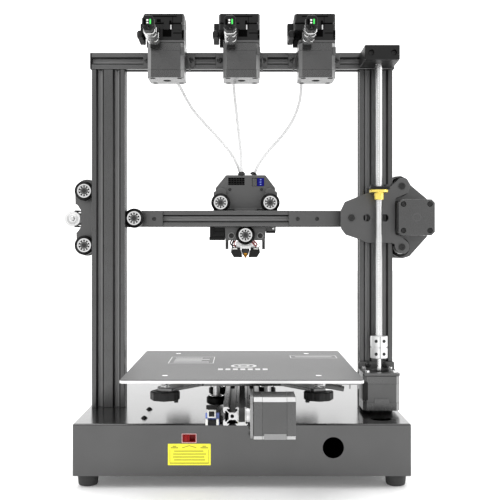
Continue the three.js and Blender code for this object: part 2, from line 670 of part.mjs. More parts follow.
const yAxis = group(printer);
add(yAxis, "y_rail", anodised, yRail());
add(yAxis, "y_motor", motorBlack,
  motor("x", [Y_MOTOR.y, Y_MOTOR.z], Y_MOTOR.x, Y_MOTOR.x + MOTOR.side, "low"));
add(yAxis, "y_pulley", steel, pulley("x", [Y_MOTOR.y, Y_MOTOR.z], 0.2, 11.2, Y_MOTOR.x + 3.5));
add(yAxis, "bed_carriage", plateSteel, bedCarriage());
add(yAxis, "build_plate", platform, buildPlate());
BED_WHEELS.forEach((at, i) => add(yAxis, `bed_wheel_${i + 1}`, rubber, wheel("z", at, RAIL.z)));
LEVEL_KNOBS.forEach((at, i) => add(yAxis, `level_knob_${i + 1}`, blackPlastic, levelKnob(at)));

const gantry = group(printer);
add(gantry, "x_beam", anodised, beam());
add(gantry, "left_plate", plateSteel, leftPlate());
add(gantry, "right_front_plate", plateSteel, rightFrontPlate());
add(gantry, "right_rear_plate", plateSteel, rightRearPlate());
add(gantry, "lead_nut", brass, leadNut());
const xShaft = [X_PULLEY_X, GANTRY_Z];
add(gantry, "x_motor", motorBlack, motor("y", xShaft, -96, LEFT_PLATE.rear - GAP, "high"));
add(gantry, "x_pulley", steel,
  pulley("y", xShaft, BEAM.y, LEFT_PLATE.front + 0.5, LEFT_PLATE.rear - 3));
add(gantry, "x_belt", rubber, xBelt());
add(gantry, "x_idler", steel, xIdler());
GANTRY_WHEELS.forEach((at, i) => add(gantry, `gantry_wheel_${i + 1}`, rubber, wheel("y", at, UPRIGHT.y)));

const carriage = group(gantry);
add(carriage, "carriage_plate", plateSteel, carriagePlate());
add(carriage, "hotend_cover", blackPlastic, hotendCover());
add(carriage, "hot_end", brass, hotEnd());
CARRIAGE_WHEELS.forEach(([x, z], i) =>
  add(carriage, `carriage_wheel_${i + 1}`, rubber, wheel("y", [CARRIAGE_X + x, GANTRY_Z + z], BEAM.y)),
);

const feeders = group(printer);
FEEDER_X.forEach((x, i) => {
  const n = i + 1;
  const bottom = FEEDER.motorTop - MOTOR.length;
  add(feeders, `feeder_motor_${n}`, motorBlack, motor("z", [x, FEEDER.y], bottom, FEEDER.motorTop, "high"));
  add(feeders, `feeder_body_${n}`, blackPlastic, feederBody(x));
  add(feeders, `feeder_lever_${n}`, blackPlastic, feederLever(x));
  add(feeders, `bowden_tube_${n}`, tubeWhite, bowdenTube(TUBE_ROUTES[i]));
});

export default printer;
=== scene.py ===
"""A desktop printer with three feeders and one mixing hot end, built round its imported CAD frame."""

import math

import bmesh
import bpy
from mathutils import Matrix, Vector
from mathutils.geometry import tessellate_polygon


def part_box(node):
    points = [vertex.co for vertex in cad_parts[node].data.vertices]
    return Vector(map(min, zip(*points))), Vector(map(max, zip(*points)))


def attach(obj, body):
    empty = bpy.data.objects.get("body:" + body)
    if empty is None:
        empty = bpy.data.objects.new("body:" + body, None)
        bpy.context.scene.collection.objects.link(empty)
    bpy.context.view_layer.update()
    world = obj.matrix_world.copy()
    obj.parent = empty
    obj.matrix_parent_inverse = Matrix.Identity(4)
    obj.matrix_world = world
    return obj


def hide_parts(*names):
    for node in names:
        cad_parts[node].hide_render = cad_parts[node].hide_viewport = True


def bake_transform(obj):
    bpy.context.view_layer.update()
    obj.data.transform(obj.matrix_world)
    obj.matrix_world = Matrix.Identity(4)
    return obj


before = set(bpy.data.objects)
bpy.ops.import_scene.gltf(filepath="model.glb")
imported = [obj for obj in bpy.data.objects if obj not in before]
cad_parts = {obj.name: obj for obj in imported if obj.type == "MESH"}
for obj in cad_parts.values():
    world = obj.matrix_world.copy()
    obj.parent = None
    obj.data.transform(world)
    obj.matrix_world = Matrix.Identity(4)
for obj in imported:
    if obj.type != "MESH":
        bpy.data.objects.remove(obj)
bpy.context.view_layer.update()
scene = bpy.context.scene
MM = 0.001


# ---- the frame's own places, in millimetres -----------------------------------------------
class Span:
    """The box of a CAD node."""

    def __init__(self, node):
        low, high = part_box(node)
        self.x0, self.y0, self.z0 = (v / MM for v in low)
        self.x1, self.y1, self.z1 = (v / MM for v in high)
        self.x, self.y, self.z = (self.x0 + self.x1) / 2, (self.y0 + self.y1) / 2, (self.z0 + self.z1) / 2


# ---- camera -------------------------------------------------------------------------------
EYE = (0.0032, -1.130, 0.2662)
camera = bpy.data.objects.new("camera", bpy.data.cameras.new("camera"))
scene.collection.objects.link(camera)
camera.location = EYE
camera.rotation_euler = (math.pi / 2, 0, 0)
camera.data.lens = 63.65
camera.data.sensor_width = 36
camera.data.shift_x = 0.0104
camera.data.shift_y = -0.0102
camera.data.clip_start = 0.05
scene.camera = camera


# ---- materials ----------------------------------------------------------------------------
NOISE_LOW, NOISE_HIGH = 0.3, 0.7  # the part of a noise's range that is used
MOTTLE_SCALE, SCUFF_SCALE = 24, 160  # broad patches and scuffs, per metre
RELIEF_DEPTH = 0.0004


def srgb(*levels):
    """Levels from 0 to 255 as a linear colour; one level is a grey."""
    levels = levels * 3 if len(levels) == 1 else levels
    line = [v / 255 for v in levels]
    return [v / 12.92 if v < 0.04045 else ((v + 0.055) / 1.055) ** 2.4 for v in line] + [1.0]


def node_in(nodes, kind, **values):
    """A shader node with its inputs set; an underscore in an input's name stands for a space."""
    made = nodes.new("ShaderNode" + kind)
    for name, value in values.items():
        made.inputs[name.replace("_", " ")].default_value = value
    return made


def surface(name, colour, rough, metal=0.0, grain=900, bump=0.04, mottle=0.05, spread=0.06,
            stretch=(1, 1, 1), coat=0.0, wear=0.0, glow=0.0, ior=1.5):
    """A finish whose colour, roughness and relief vary with the place on the piece.
    grain is the fine relief's frequency per metre, stretched along an axis for brushed or drawn metal."""
    made = bpy.data.materials.new(name)
    made.use_nodes = True
    nodes, links = made.node_tree.nodes, made.node_tree.links
    shader = nodes["Principled BSDF"]
    shader.inputs["Metallic"].default_value = metal
    shader.inputs["IOR"].default_value = ior
    shader.inputs["Coat Weight"].default_value = coat
    shader.inputs["Coat Roughness"].default_value = 0.06
    place = nodes.new("ShaderNodeTexCoord")
    turn_to = node_in(nodes, "Mapping", Scale=stretch)
    links.new(place.outputs["Object"], turn_to.inputs["Vector"])
    fine = node_in(nodes, "TexNoise", Scale=grain, Detail=5)
    links.new(turn_to.outputs["Vector"], fine.inputs["Vector"])
    broad = node_in(nodes, "TexNoise", Scale=MOTTLE_SCALE, Detail=3)
    links.new(place.outputs["Object"], broad.inputs["Vector"])
    tint = nodes.new("ShaderNodeValToRGB")
    tint.color_ramp.elements[0].position = NOISE_LOW
    tint.color_ramp.elements[1].position = NOISE_HIGH
    tint.color_ramp.elements[0].color = [v * (1 - mottle) for v in colour[:3]] + [1]
    tint.color_ramp.elements[1].color = [min(1, v * (1 + mottle)) for v in colour[:3]] + [1]
    links.new(broad.outputs["Fac"], tint.inputs["Fac"])
    rub = node_in(nodes, "MapRange", From_Min=NOISE_LOW, From_Max=NOISE_HIGH,
                  To_Min=max(0.02, rough - spread), To_Max=rough + spread)
    links.new(fine.outputs["Fac"], rub.inputs["Value"])
    links.new(rub.outputs["Result"], shader.inputs["Roughness"])
    colour_out = tint.outputs["Color"]
    if wear:
        scuffs = node_in(nodes, "TexNoise", Scale=SCUFF_SCALE, Detail=8)
        links.new(place.outputs["Object"], scuffs.inputs["Vector"])
        share = node_in(nodes, "MapRange", From_Min=0.62, From_Max=0.78, To_Max=wear)
        links.new(scuffs.outputs["Fac"], share.inputs["Value"])
        blend = nodes.new("ShaderNodeMix")
        blend.data_type = "RGBA"
        blend.inputs[7].default_value = [min(1, v * 1.9 + 0.03) for v in colour[:3]] + [1]
        links.new(share.outputs["Result"], blend.inputs[0])
        links.new(colour_out, blend.inputs[6])
        colour_out = blend.outputs[2]
    links.new(colour_out, shader.inputs["Base Color"])
    if glow:
        links.new(colour_out, shader.inputs["Emission Color"])
        shader.inputs["Emission Strength"].default_value = glow
    relief = node_in(nodes, "Bump", Strength=bump, Distance=RELIEF_DEPTH)
    links.new(fine.outputs["Fac"], relief.inputs["Height"])
    links.new(relief.outputs["Normal"], shader.inputs["Normal"])
    return made


paint = surface("steel_paint", srgb(86), 0.19, metal=0.92, grain=1500, bump=0.03, wear=0.04, spread=0.03)
plate = surface("plate_paint", srgb(92), 0.34, metal=0.85, grain=2200, bump=0.08, wear=0.06)
sheet = surface("carriage_paint", srgb(104), 0.24, metal=0.95, grain=1800, bump=0.04, wear=0.04)
drawn_z = surface("anodised_upright", srgb(87), 0.3, metal=0.9, grain=2600, bump=0.05, stretch=(1, 1, 0.02),
    wear=0.04)
drawn_x = surface("anodised_beam", srgb(94), 0.3, metal=0.9, grain=2600, bump=0.05, stretch=(0.02, 1, 1),
    wear=0.04)
drawn_y = surface("anodised_rail", srgb(94), 0.3, metal=0.9, grain=2600, bump=0.05, stretch=(1, 0.02, 1),
    wear=0.04)
# the slots' walls are painted dark as shade, and their floors are painted lighter as light
painted_slot_shade = surface("slot_wall_painted_shade", srgb(34), 0.45, metal=0.6, grain=2600, bump=0.05)
painted_slot_light = surface("slot_floor_painted_light", srgb(120), 0.4, metal=0.5, grain=2600, bump=0.05)
# pale sawn aluminium for cut ends, also used as a painted highlight on the Y motor's slanted corners
sawn_and_highlight = surface("sawn_aluminium_and_painted_highlight", srgb(200), 0.35, metal=0.9, grain=3000, bump=0.15, stretch=(1, 1, 0.1))
laminated = surface("motor_stack", srgb(88), 0.32, metal=0.85, grain=2400, bump=0.12, stretch=(0.15, 0.15, 1))
# a lighter machined finish for small metal parts, also used as a painted highlight on the motors' slanted
# corners
machined_and_highlight = surface("machined_edge_and_painted_highlight", srgb(136), 0.34, metal=0.85, grain=1800, bump=0.05)
bell = surface("motor_bell", srgb(90), 0.27, metal=0.9, grain=1800, bump=0.05, wear=0.05)
moulded = surface("black_plastic", srgb(28), 0.4, grain=2600, bump=0.14, mottle=0.08, ior=1.27)
sensor_black = surface("sensor_case", srgb(20), 0.4, grain=2600, bump=0.1, mottle=0.08, ior=1.28)
shell = surface("dark_grey_plastic", srgb(78), 0.5, grain=2600, bump=0.14, mottle=0.04)
tyre = surface("wheel_tyre", srgb(14), 0.3, grain=1400, bump=0.04, mottle=0.1, ior=1.22)
rubber = surface("rubber", srgb(52), 0.75, grain=1800, bump=0.3, mottle=0.1, spread=0.1)
belting = surface("belt", srgb(34), 0.7, grain=2500, bump=0.4, mottle=0.1)
steel = surface("bright_steel", srgb(222), 0.2, metal=1.0, grain=2500, bump=0.04)
nickel = surface("nickel", srgb(206), 0.16, metal=1.0, grain=1500, bump=0.03)
blackened = surface("blackened_steel", srgb(52), 0.36, metal=0.7, grain=2200, bump=0.08)
aluminium = surface("satin_aluminium", srgb(226), 0.33, metal=0.9, grain=2800, bump=0.08)
brass = surface("brass", srgb(252, 226, 116), 0.26, metal=0.95, grain=1800, bump=0.05)
hot_brass = surface("nozzle_brass", srgb(214, 150, 52), 0.3, metal=0.9, grain=1800, bump=0.08, wear=0.2)
platform = surface("platform_coating", srgb(93), 0.52, grain=5200, bump=0.35, mottle=0.03, ior=1.4)
ptfe = surface("ptfe_tube", srgb(224), 0.34, grain=300, bump=0.005, mottle=0.02)
red = surface("red_plastic", srgb(150, 12, 16), 0.4, grain=1800, bump=0.06, ior=1.3)
yellow = surface("yellow_label", srgb(246, 240, 58), 0.38, grain=1500, bump=0.03, mottle=0.02)
ink = surface("dark_ink", srgb(112, 104, 26), 0.5, grain=1500, bump=0.02)
white_ink = surface("pale_ink", srgb(196), 0.5, grain=2500, bump=0.1)
white_plastic = surface("white_plastic", srgb(236, 236, 232), 0.35, grain=2000, bump=0.05, mottle=0.03)
blue = surface("blue_plastic", srgb(14, 14, 112), 0.4, grain=2000, bump=0.05, ior=1.2)
pale_blue = surface("pale_blue_plastic", srgb(120, 140, 214), 0.35, grain=2000, bump=0.05)
green = surface("green_lamp", srgb(60, 200, 80), 0.3, grain=900, bump=0.02, glow=0.5)
circuit = surface("circuit_board", srgb(28, 84, 50), 0.4, grain=1200, bump=0.1)
# near-black painted into holes, slits, gaps and openings as their shade
painted_shade = surface("painted_shade_black", srgb(5), 0.85, grain=900, bump=0.05, ior=1.08)
glass = surface("screen_glass", srgb(24, 30, 44), 0.08, grain=300, bump=0.01, coat=0.6)
wire_black = surface("wire_black", srgb(26), 0.45, grain=1500, bump=0.05)
wire_red = surface("wire_red", srgb(150, 30, 26), 0.4, grain=1500, bump=0.05)
wire_white = surface("wire_white", srgb(225), 0.4, grain=1500, bump=0.05)
galvanised = surface("galvanised", srgb(190), 0.4, metal=0.9, grain=260, bump=0.05, mottle=0.15)
pink = surface("pink_rim", srgb(214, 168, 168), 0.4)
screen_ink = surface("screen_line", srgb(110, 150, 200), 0.3, glow=0.3)
sleeve = surface("braided_sleeve", srgb(74), 0.6, grain=2600, bump=0.5, mottle=0.15)


# ---- shapes, in millimetres, as bmeshes ---------------------------------------------------
TURN = {
    "z": Matrix.Identity(4),
    "y": Matrix(((1, 0, 0, 0), (0, 0, -1, 0), (0, 1, 0, 0), (0, 0, 0, 1))),
    "x": Matrix(((0, 0, 1, 0), (1, 0, 0, 0), (0, 1, 0, 0), (0, 0, 0, 1))),
}


def joined(*shapes):
    """The shapes as one bmesh."""
    first = shapes[0]
    for other in shapes[1:]:
        mesh = bpy.data.meshes.new("part")
        other.to_mesh(mesh)
        other.free()
        first.from_mesh(mesh)
        bpy.data.meshes.remove(mesh)
    return first


def block(x, y, z, r=0.5, segments=2):
    """A box with rounded edges."""
    x, y, z = sorted(x), sorted(y), sorted(z)
    bm = bmesh.new()
    bmesh.ops.create_cube(bm, size=1)
    for v in bm.verts:
        v.co = [(s[0] + s[1]) / 2 + c * (s[1] - s[0]) for c, s in zip(v.co, (x, y, z))]
    if r:
        bmesh.ops.bevel(bm, geom=bm.edges[:], offset=r, segments=segments, profile=0.5, affect="EDGES")
    return bm


def turned(profile, segments=40):
    """A profile of (radius, height) turned round the Z axis."""
    bm = bmesh.new()
    rings = []
    for r, z in profile:
        if r < 1e-6:
            rings.append([bm.verts.new((0, 0, z))])
        else:
            angles = [2 * math.pi * i / segments for i in range(segments)]
            rings.append([bm.verts.new((r * math.cos(a), r * math.sin(a), z)) for a in angles])
    for a, b in zip(rings, rings[1:]):
        for i in range(segments if max(len(a), len(b)) > 1 else 0):
            j = i + 1
            corners = []
            for v in (a[i % len(a)], a[j % len(a)], b[j % len(b)], b[i % len(b)]):
                if v not in corners:
                    corners.append(v)
            bm.faces.new(corners)
    bmesh.ops.remove_doubles(bm, verts=bm.verts, dist=1e-5)
    bmesh.ops.recalc_face_normals(bm, faces=bm.faces)
    return bm


def area(loop):
    return sum(a[0] * b[1] - b[0] * a[1] for a, b in zip(loop, loop[1:] + loop[:1])) / 2


def inset(loop, r):
    """The loop moved to its left by r."""
    made = []
    for i, at in enumerate(loop):
        before, here, after = Vector(loop[i - 1]), Vector(at), Vector(loop[(i + 1) % len(loop)])
        a, b = (here - before).normalized(), (after - here).normalized()
        m, n = Vector((-a.y, a.x)), Vector((-b.y, b.x))
        made.append(here + (m + n) * (r / max(0.3, 1 + m.dot(n))))
    return made


def slab(outline, a, b, holes=(), r=0.25):
    """A flat outline with holes, given thickness from a to b along Z, its rims chamfered by r."""
    loops = [[tuple(p) for p in loop] for loop in (outline, *holes)]
    loops = [loop if (area(loop) > 0) == (i == 0) else loop[::-1] for i, loop in enumerate(loops)]
    bm = bmesh.new()
    caps = {a: [], b: []}
    for loop in loops:
        narrow = inset(loop, r)
        levels = [(narrow, a), (loop, a + r), (loop, b - r), (narrow, b)]
        rings = [[bm.verts.new((p[0], p[1], z)) for p in ring] for ring, z in levels]
        for low, high in zip(rings, rings[1:]):
            for i in range(len(loop)):
                bm.faces.new((low[i - 1], low[i], high[i], high[i - 1]))
        caps[a] += rings[0]
        caps[b] += rings[-1]
    sizes = [len(loop) for loop in loops]
    for verts in caps.values():
        rows, start = [], 0
        for size in sizes:
            rows.append([v.co for v in verts[start:start + size]])
            start += size
        for triangle in tessellate_polygon(rows):
            if len({verts[i] for i in triangle}) == 3:
                bm.faces.new([verts[i] for i in triangle])
    bmesh.ops.recalc_face_normals(bm, faces=bm.faces)
    return bm


def flat(axis, outline, a, b, holes=(), r=0.25):
    """A slab across a world axis: its outline is in (x, z) for y, (y, z) for x and (x, y) for z."""
    low, high = (-b, -a) if axis == "y" else (a, b)
    bm = slab(outline, low, high, holes, r)
    bm.transform(TURN[axis])
    return bm


def spun(axis, at, profile, segments=40):
    """A profile of (radius, place along the axis) turned round a world axis through at."""
    sign = -1 if axis == "y" else 1
    bm = turned([(r, sign * along) for r, along in profile], segments)
    bm.transform(TURN[axis] @ Matrix.Translation((at[0], at[1], 0)))
    return bm


def rod(axis, at, r, a, b, c=0.3, segments=32):
    a, b = sorted((a, b))
    c = min(c, r * 0.4, (b - a) * 0.3)
    return spun(axis, at, [(0, a), (r - c, a), (r, a + c), (r, b - c), (r - c, b), (0, b)], segments)


def circle(u, v, r, n=32, phase=0.0):
    angles = [2 * math.pi * (i / n) + phase for i in range(n)]
    return [(u + r * math.cos(t), v + r * math.sin(t)) for t in angles]


def rounded(outline, r, n=5):
    """The outline with its corners turned into arcs of radius r."""
    made = []
    for i, at in enumerate(outline):
        before, here, after = Vector(outline[i - 1]), Vector(at), Vector(outline[(i + 1) % len(outline)])
        a, b = (before - here), (after - here)
        la, lb = a.length, b.length
        a.normalize()
        b.normalize()
        half = math.acos(max(-1, min(1, a.dot(b)))) / 2
        if half > 1.5:
            made.append(tuple(here))
            continue
        reach = min(r / math.tan(half), la * 0.49, lb * 0.49)
        radius = reach * math.tan(half)
        middle = here + (a + b).normalized() * (radius / math.sin(half))
        start, end = here + a * reach - middle, here + b * reach - middle
        sweep_angle = start.angle_signed(end)
        for k in range(n + 1):
            turn_by = -sweep_angle * k / n
            c, s = math.cos(turn_by), math.sin(turn_by)
            made.append((middle.x + start.x * c - start.y * s, middle.y + start.x * s + start.y * c))
    return made


def rectangle(u0, u1, v0, v1, r=0.0):
    corners = [(u0, v0), (u1, v0), (u1, v1), (u0, v1)]
    return rounded(corners, r) if r else corners


def smooth(points, steps=8):
    """A centripetal Catmull-Rom curve through the points."""
    points = [Vector(p) for p in points]
    points = [2 * points[0] - points[1], *points, 2 * points[-1] - points[-2]]
    made = []
    for p0, p1, p2, p3 in zip(points, points[1:], points[2:], points[3:]):
        t1 = (p1 - p0).length ** 0.5
        t2 = t1 + (p2 - p1).length ** 0.5
        t3 = t2 + (p3 - p2).length ** 0.5
        for k in range(steps):
            t = t1 + (t2 - t1) * k / steps
            a1 = p0 * ((t1 - t) / t1) + p1 * (t / t1)
            a2 = p1 * ((t2 - t) / (t2 - t1)) + p2 * ((t - t1) / (t2 - t1))
            a3 = p2 * ((t3 - t) / (t3 - t2)) + p3 * ((t - t2) / (t3 - t2))
            b1 = a1 * ((t2 - t) / t2) + a2 * (t / t2)
            b2 = a2 * ((t3 - t) / (t3 - t1)) + a3 * ((t - t1) / (t3 - t1))
            made.append(b1 * ((t2 - t) / (t2 - t1)) + b2 * ((t - t1) / (t2 - t1)))
    return [*made, points[-2]]


def swept(path, r, sides=12, section=None, caps=True, closed=False):
    """A tube, or another section, along a path of points."""
    path = [Vector(p) for p in path]
    section = section or circle(0, 0, r, sides)
    count = len(path)

    def around(i):
        return path[i % count] if closed else path[max(0, min(count - 1, i))]

    tangents = [(around(i + 1) - around(i - 1)).normalized() for i in range(count)]
    side = tangents[0].orthogonal().normalized()
    bm = bmesh.new()
    rings = []
    for i, (at, along) in enumerate(zip(path, tangents)):
        if i:
            side = tangents[i - 1].rotation_difference(along) @ side
        side = (side - along * side.dot(along)).normalized()
        other = along.cross(side)
        rings.append([bm.verts.new(at + side * u + other * v) for u, v in section])
    pairs = list(zip(rings, rings[1:])) + ([(rings[-1], rings[0])] if closed else [])
    for low, high in pairs:
        for i in range(len(section)):
            bm.faces.new((low[i - 1], low[i], high[i], high[i - 1]))
    if caps and not closed:
        bm.faces.new(rings[0])
        bm.faces.new(rings[-1])
    bmesh.ops.recalc_face_normals(bm, faces=bm.faces)
    return bm


def at(bm, place, towards="z"):
    """A shape made on the origin along +Z, moved to a place and pointed along a world direction."""
    axes = {"x": (1, 0, 0), "y": (0, 1, 0), "z": (0, 0, 1)}
    direction = Vector(axes[towards[-1]]) * (-1 if towards[0] == "-" else 1)
    turn_to = Vector((0, 0, 1)).rotation_difference(direction).to_matrix().to_4x4()
    bm.transform(Matrix.Translation(place) @ turn_to)
    return bm


def object_of(bm, name="part"):
    mesh = bpy.data.meshes.new(name)
    bm.to_mesh(mesh)
    bm.free()
    made = bpy.data.objects.new(name, mesh)
    scene.collection.objects.link(made)
    return made


def carved(bm, *cutters):
    """The shape with the cutters taken out of it."""
    target = object_of(bm)
    tools = [object_of(c, "cutter") for c in cutters]
    for tool in tools:
        cut = target.modifiers.new("cut", "BOOLEAN")
        cut.operation, cut.solver, cut.object = "DIFFERENCE", "EXACT", tool
    found = target.evaluated_get(bpy.context.evaluated_depsgraph_get())
    result = bmesh.new()
    result.from_mesh(found.to_mesh())
    found.to_mesh_clear()
    for o in (target, *tools):
        mesh = o.data
        bpy.data.objects.remove(o)
        bpy.data.meshes.remove(mesh)
    return result


class Piece:
    """One shown piece, gathered from shapes in millimetres, that rides on a CAD body."""

    def __init__(self, name, body, slot=None, replaces=()):
        self.name, self.body, self.slot, self.replaces = name, body, slot, replaces
        self.bm = bmesh.new()
        self.materials = []

    def add(self, bm, material):
        """material is one for the whole shape, or a function that picks one for a face."""
        bm.normal_update()
        for f in bm.faces:
            m = material(f) if callable(material) else material
            if m not in self.materials:
                self.materials.append(m)
            f.material_index = self.materials.index(m)
        self.bm = joined(self.bm, bm)
        return self

    def mesh(self):
        mesh = bpy.data.meshes.new(self.name)
        self.bm.to_mesh(mesh)
        self.bm.free()
        mesh.transform(Matrix.Scale(MM, 4))
        mesh.shade_smooth()
        mesh.set_sharp_from_angle(angle=math.radians(34))
        for m in self.materials:
            mesh.materials.append(m)
        return mesh

    def done(self):
        made = bpy.data.objects.new(self.name, self.mesh())
        scene.collection.objects.link(made)
        shading = made.modifiers.new("shading", "WEIGHTED_NORMAL")
        shading.keep_sharp = True
        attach(made, self.body)
        if self.replaces:
            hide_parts(*self.replaces)
        return made


# ---- fasteners ----------------------------------------------------------------------------
BOLT = 15.5  # half of a motor's 31 mm screw spacing
MOTOR_HALF = 21.15  # half of a motor's width
BOLT_SQUARE = [(u, v) for u in (-BOLT, BOLT) for v in (-BOLT, BOLT)]


def socket_head(r, h):
    """A hexagon socket screw's head, standing on z 0."""
    head = slab(circle(0, 0, r, 28), 0, h, [circle(0, 0, r * 0.52, 6)], min(0.3, r * 0.12))
    return joined(head, turned([(0, h * 0.05), (r * 0.7, h * 0.05), (r * 0.7, h * 0.35), (0, h * 0.35)], 20))


def button_head(r, h):
    """A low domed head with a hexagon socket."""
    n = 5
    dome = [(r * math.cos(math.pi / 2 * k / n) * 0.999, h * math.sin(math.pi / 2 * k / n)) for k in range(n)]
    profile = [(r * 0.4, 0), *dome, (r * 0.42, h), (r * 0.4, h * 0.25), (r * 0.4, 0)]
    return joined(turned(profile, 24), turned([(0, 0.02), (r * 0.5, 0.02), (r * 0.5, h * 0.3),
        (0, h * 0.3)], 16))


def hex_nut(r, h):
    """A hexagon nut with the end of its bolt showing, standing on z 0."""
    nut = slab(circle(0, 0, r, 6), 0, h, [circle(0, 0, r * 0.5, 20)], 0.35)
    return joined(nut, turned([(0, 0), (r * 0.52, 0), (r * 0.52, h + 0.5), (r * 0.42, h + 1), (0, h + 1)],
        24))


def washer(r, bore, h):
    return slab(circle(0, 0, r, 32), 0, h, [circle(0, 0, bore, 24)], 0.15)


# ---- Bowden tubes: each is one tube in two lengths, which meet where it rides on the gantry alone ----
TUBE = {"r": 2.0, "exit_z": 505.0, "seam": 436.0, "inlet": 357.0}
TUBE_ROUTES = [
    [(-99.3, -49.7, 505), (-98.6, -38, 503), (-92.5, -28, 489), (-79.9, -25, 467.7), (-62.8, -23, 437.1),
     (-45.9, -19, 417.5), (-24, -12, 394.1), (-10, -3, 375.5), (-1.8, 4.5, 357)],
    [(-12.6, -49.7, 505), (-12.5, -38, 502.5), (-11.8, -29, 488), (-10.7, -26, 466), (-7.8, -23, 436),
     (-4, -20, 402.8), (-1.4, -16.5, 375), (-1, -14.5, 357)],
    [(74.1, -49.7, 505), (74.2, -38, 503), (74.2, -28, 489), (73.8, -25, 464.7), (71.5, -23, 444.8),
     (63.6, -20, 423.3), (51.8, -16, 405.7), (33.9, -11, 386.1), (22, -7, 370.5), (15, -5, 357)],
]
tube_lengths = []
for n, route in enumerate(TUBE_ROUTES, 1):
    line = smooth(route, 12)
    seam = next(i for i, p in enumerate(line) if p.z < TUBE["seam"])
    for part, points, bodies, tops in (
        ("upper", line[:seam + 1], ("frame", "gantry"), (TUBE["exit_z"] - 2, line[seam].z)),
        ("lower", line[seam:], ("gantry", "carriage"), (line[seam].z, TUBE["inlet"] + 4)),
    ):
        piece = Piece(f"bowden_tube_{n}_{part}", bodies[0])
        piece.add(swept(points, TUBE["r"], 16), ptfe)
        tube = bpy.data.objects.new(piece.name, piece.mesh())
        scene.collection.objects.link(tube)
        start, end = (tuple(v * MM for v in (points[0].x, points[0].y, z)) for z in tops)
        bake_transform(tube)
        path = [p * MM for p in points]
        length = sum((q - p).length for p, q in zip(path, path[1:]))
        tube_lengths.append((tube.name, length))
        if part == "upper":
            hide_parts(f"bowden_tube_{n}")


# ---- base ---------------------------------------------------------------------------------
housing = Span("base_housing")
PANEL_LIP = 2.0
front = housing.y1 - PANEL_LIP
rear, top, low = housing.y0, housing.z1, housing.z0
half_x = housing.x1
WALL = 2.0

selector = Span("voltage_switch")
rocker = Span("power_rocker")
dial = Span("control_knob")

body = bmesh.new()
bmesh.ops.create_cube(body, size=1)
for v in body.verts:
    v.co = (v.co.x * 2 * half_x, v.co.y * (front - rear) + (front + rear) / 2,
        v.co.z * (top - low) + (top + low) / 2)
rims = [e for e in body.edges if max(v.co.z for v in e.verts) > top - 0.1]
bmesh.ops.bevel(body, geom=rims, offset=2.2, segments=4, profile=0.5, affect="EDGES")
INLET = {"y": 114, "z": 45, "width": 25, "height": 17, "depth": 17}
inlet_y = (INLET["y"] - INLET["width"] / 2, INLET["y"] + INLET["width"] / 2)
inlet_z = (INLET["z"] - INLET["height"] / 2, INLET["z"] + INLET["height"] / 2)
CABLE_HOLE = (156, -138, 11.5)
REAR_HOLE = (99.7, 45, 11.6)
selector_hole = (selector.x0 - 0.3, selector.x0 + 14.7)
selector_z = (selector.z - 4.5, selector.z + 4.5)
ROCKER_HALF = 7.9  # half of the rocker opening's height
body = carved(body, block((WALL - half_x, half_x - WALL), (rear + WALL, front - WALL),
    (low - 5, top - WALL), 0), rod("z", CABLE_HOLE[:2], CABLE_HOLE[2], top - 5, top + 5, 0, 48),
    rod("z", (-110, -81), 3.25, top - 5, top + 5, 0, 32),
    rod("z", (-110, -134), 3.25, top - 5, top + 5, 0, 32),
    rod("y", REAR_HOLE[:2], REAR_HOLE[2], rear - 5, rear + 5, 0, 64),
    block(selector_hole, (rear - 5, rear + 5), selector_z, 0),
    block((-half_x - 5, 5 - half_x), inlet_y, inlet_z, 0),
    block((-half_x - 5, 5 - half_x), (rocker.y0 - 0.3, rocker.y1 + 0.3),
    (rocker.z - ROCKER_HALF, rocker.z + ROCKER_HALF), 0),
    rod("y", (dial.x, dial.z), 3.3, front - 5, front + 5, 0, 24),)
shell_piece = Piece("base_shell", "frame", "painted_steel", ["base_housing"])
shell_piece.add(body, paint)
for side in (-1, 1):
    for y in (rear + 40, (rear + front) / 2, front - 40):
        shell_piece.add(at(button_head(3.2, 1.6), (side * (half_x - 1.7), y, low + 7),
            "x" if side > 0 else "-x"), blackened)
shell_piece.done()

floor_span = Span("base_floor")
top_screws = Piece("base_top_screws", "frame")
for y in (-81, -134):
    top_screws.add(at(button_head(3.4, 2.6), (-110, y, top - 0.1)), moulded)
    top_screws.add(at(washer(3.9, 2.0, 0.4), (-110, y, top - 0.05)), moulded)
top_screws.done()

pan = Piece("base_pan", "frame", "plate_steel", ["base_floor"])
slots = [rectangle(-120 + i * 20, -112 + i * 20, 60, 170, 3.5) for i in range(8)]
pan.add(slab(rectangle(floor_span.x0, floor_span.x1, floor_span.y0, floor_span.y1, 2), low, low + 2, slots,
    0.3), plate)
FOOT = {"x": 171, "inset": 20, "r": 12}
for side in (-1, 1):
    for y in (rear + FOOT["inset"], front - FOOT["inset"]):
        pan.add(at(button_head(3, 1.5), (side * FOOT["x"], y, low + 2)), blackened)
pan.done()
foot_number = 0
for side in (-1, 1):
    for y in (rear + FOOT["inset"], front - FOOT["inset"]):
        foot_number += 1
        foot = Piece(f"foot_{foot_number}", "frame", "rubber_foot")
        r = FOOT["r"]
        foot.add(at(turned([(0, 0.6), (4, 0.6), (4.6, 0), (r - 3.2, 0), (r - 1.9, 0.6), (r - 1.2, 2),
            (r - 0.1, low - 0.5), (r - 0.3, low - 0.02), (0, low - 0.02)], 48), (side * FOOT["x"], y, 0)),
            rubber)
        foot.done()

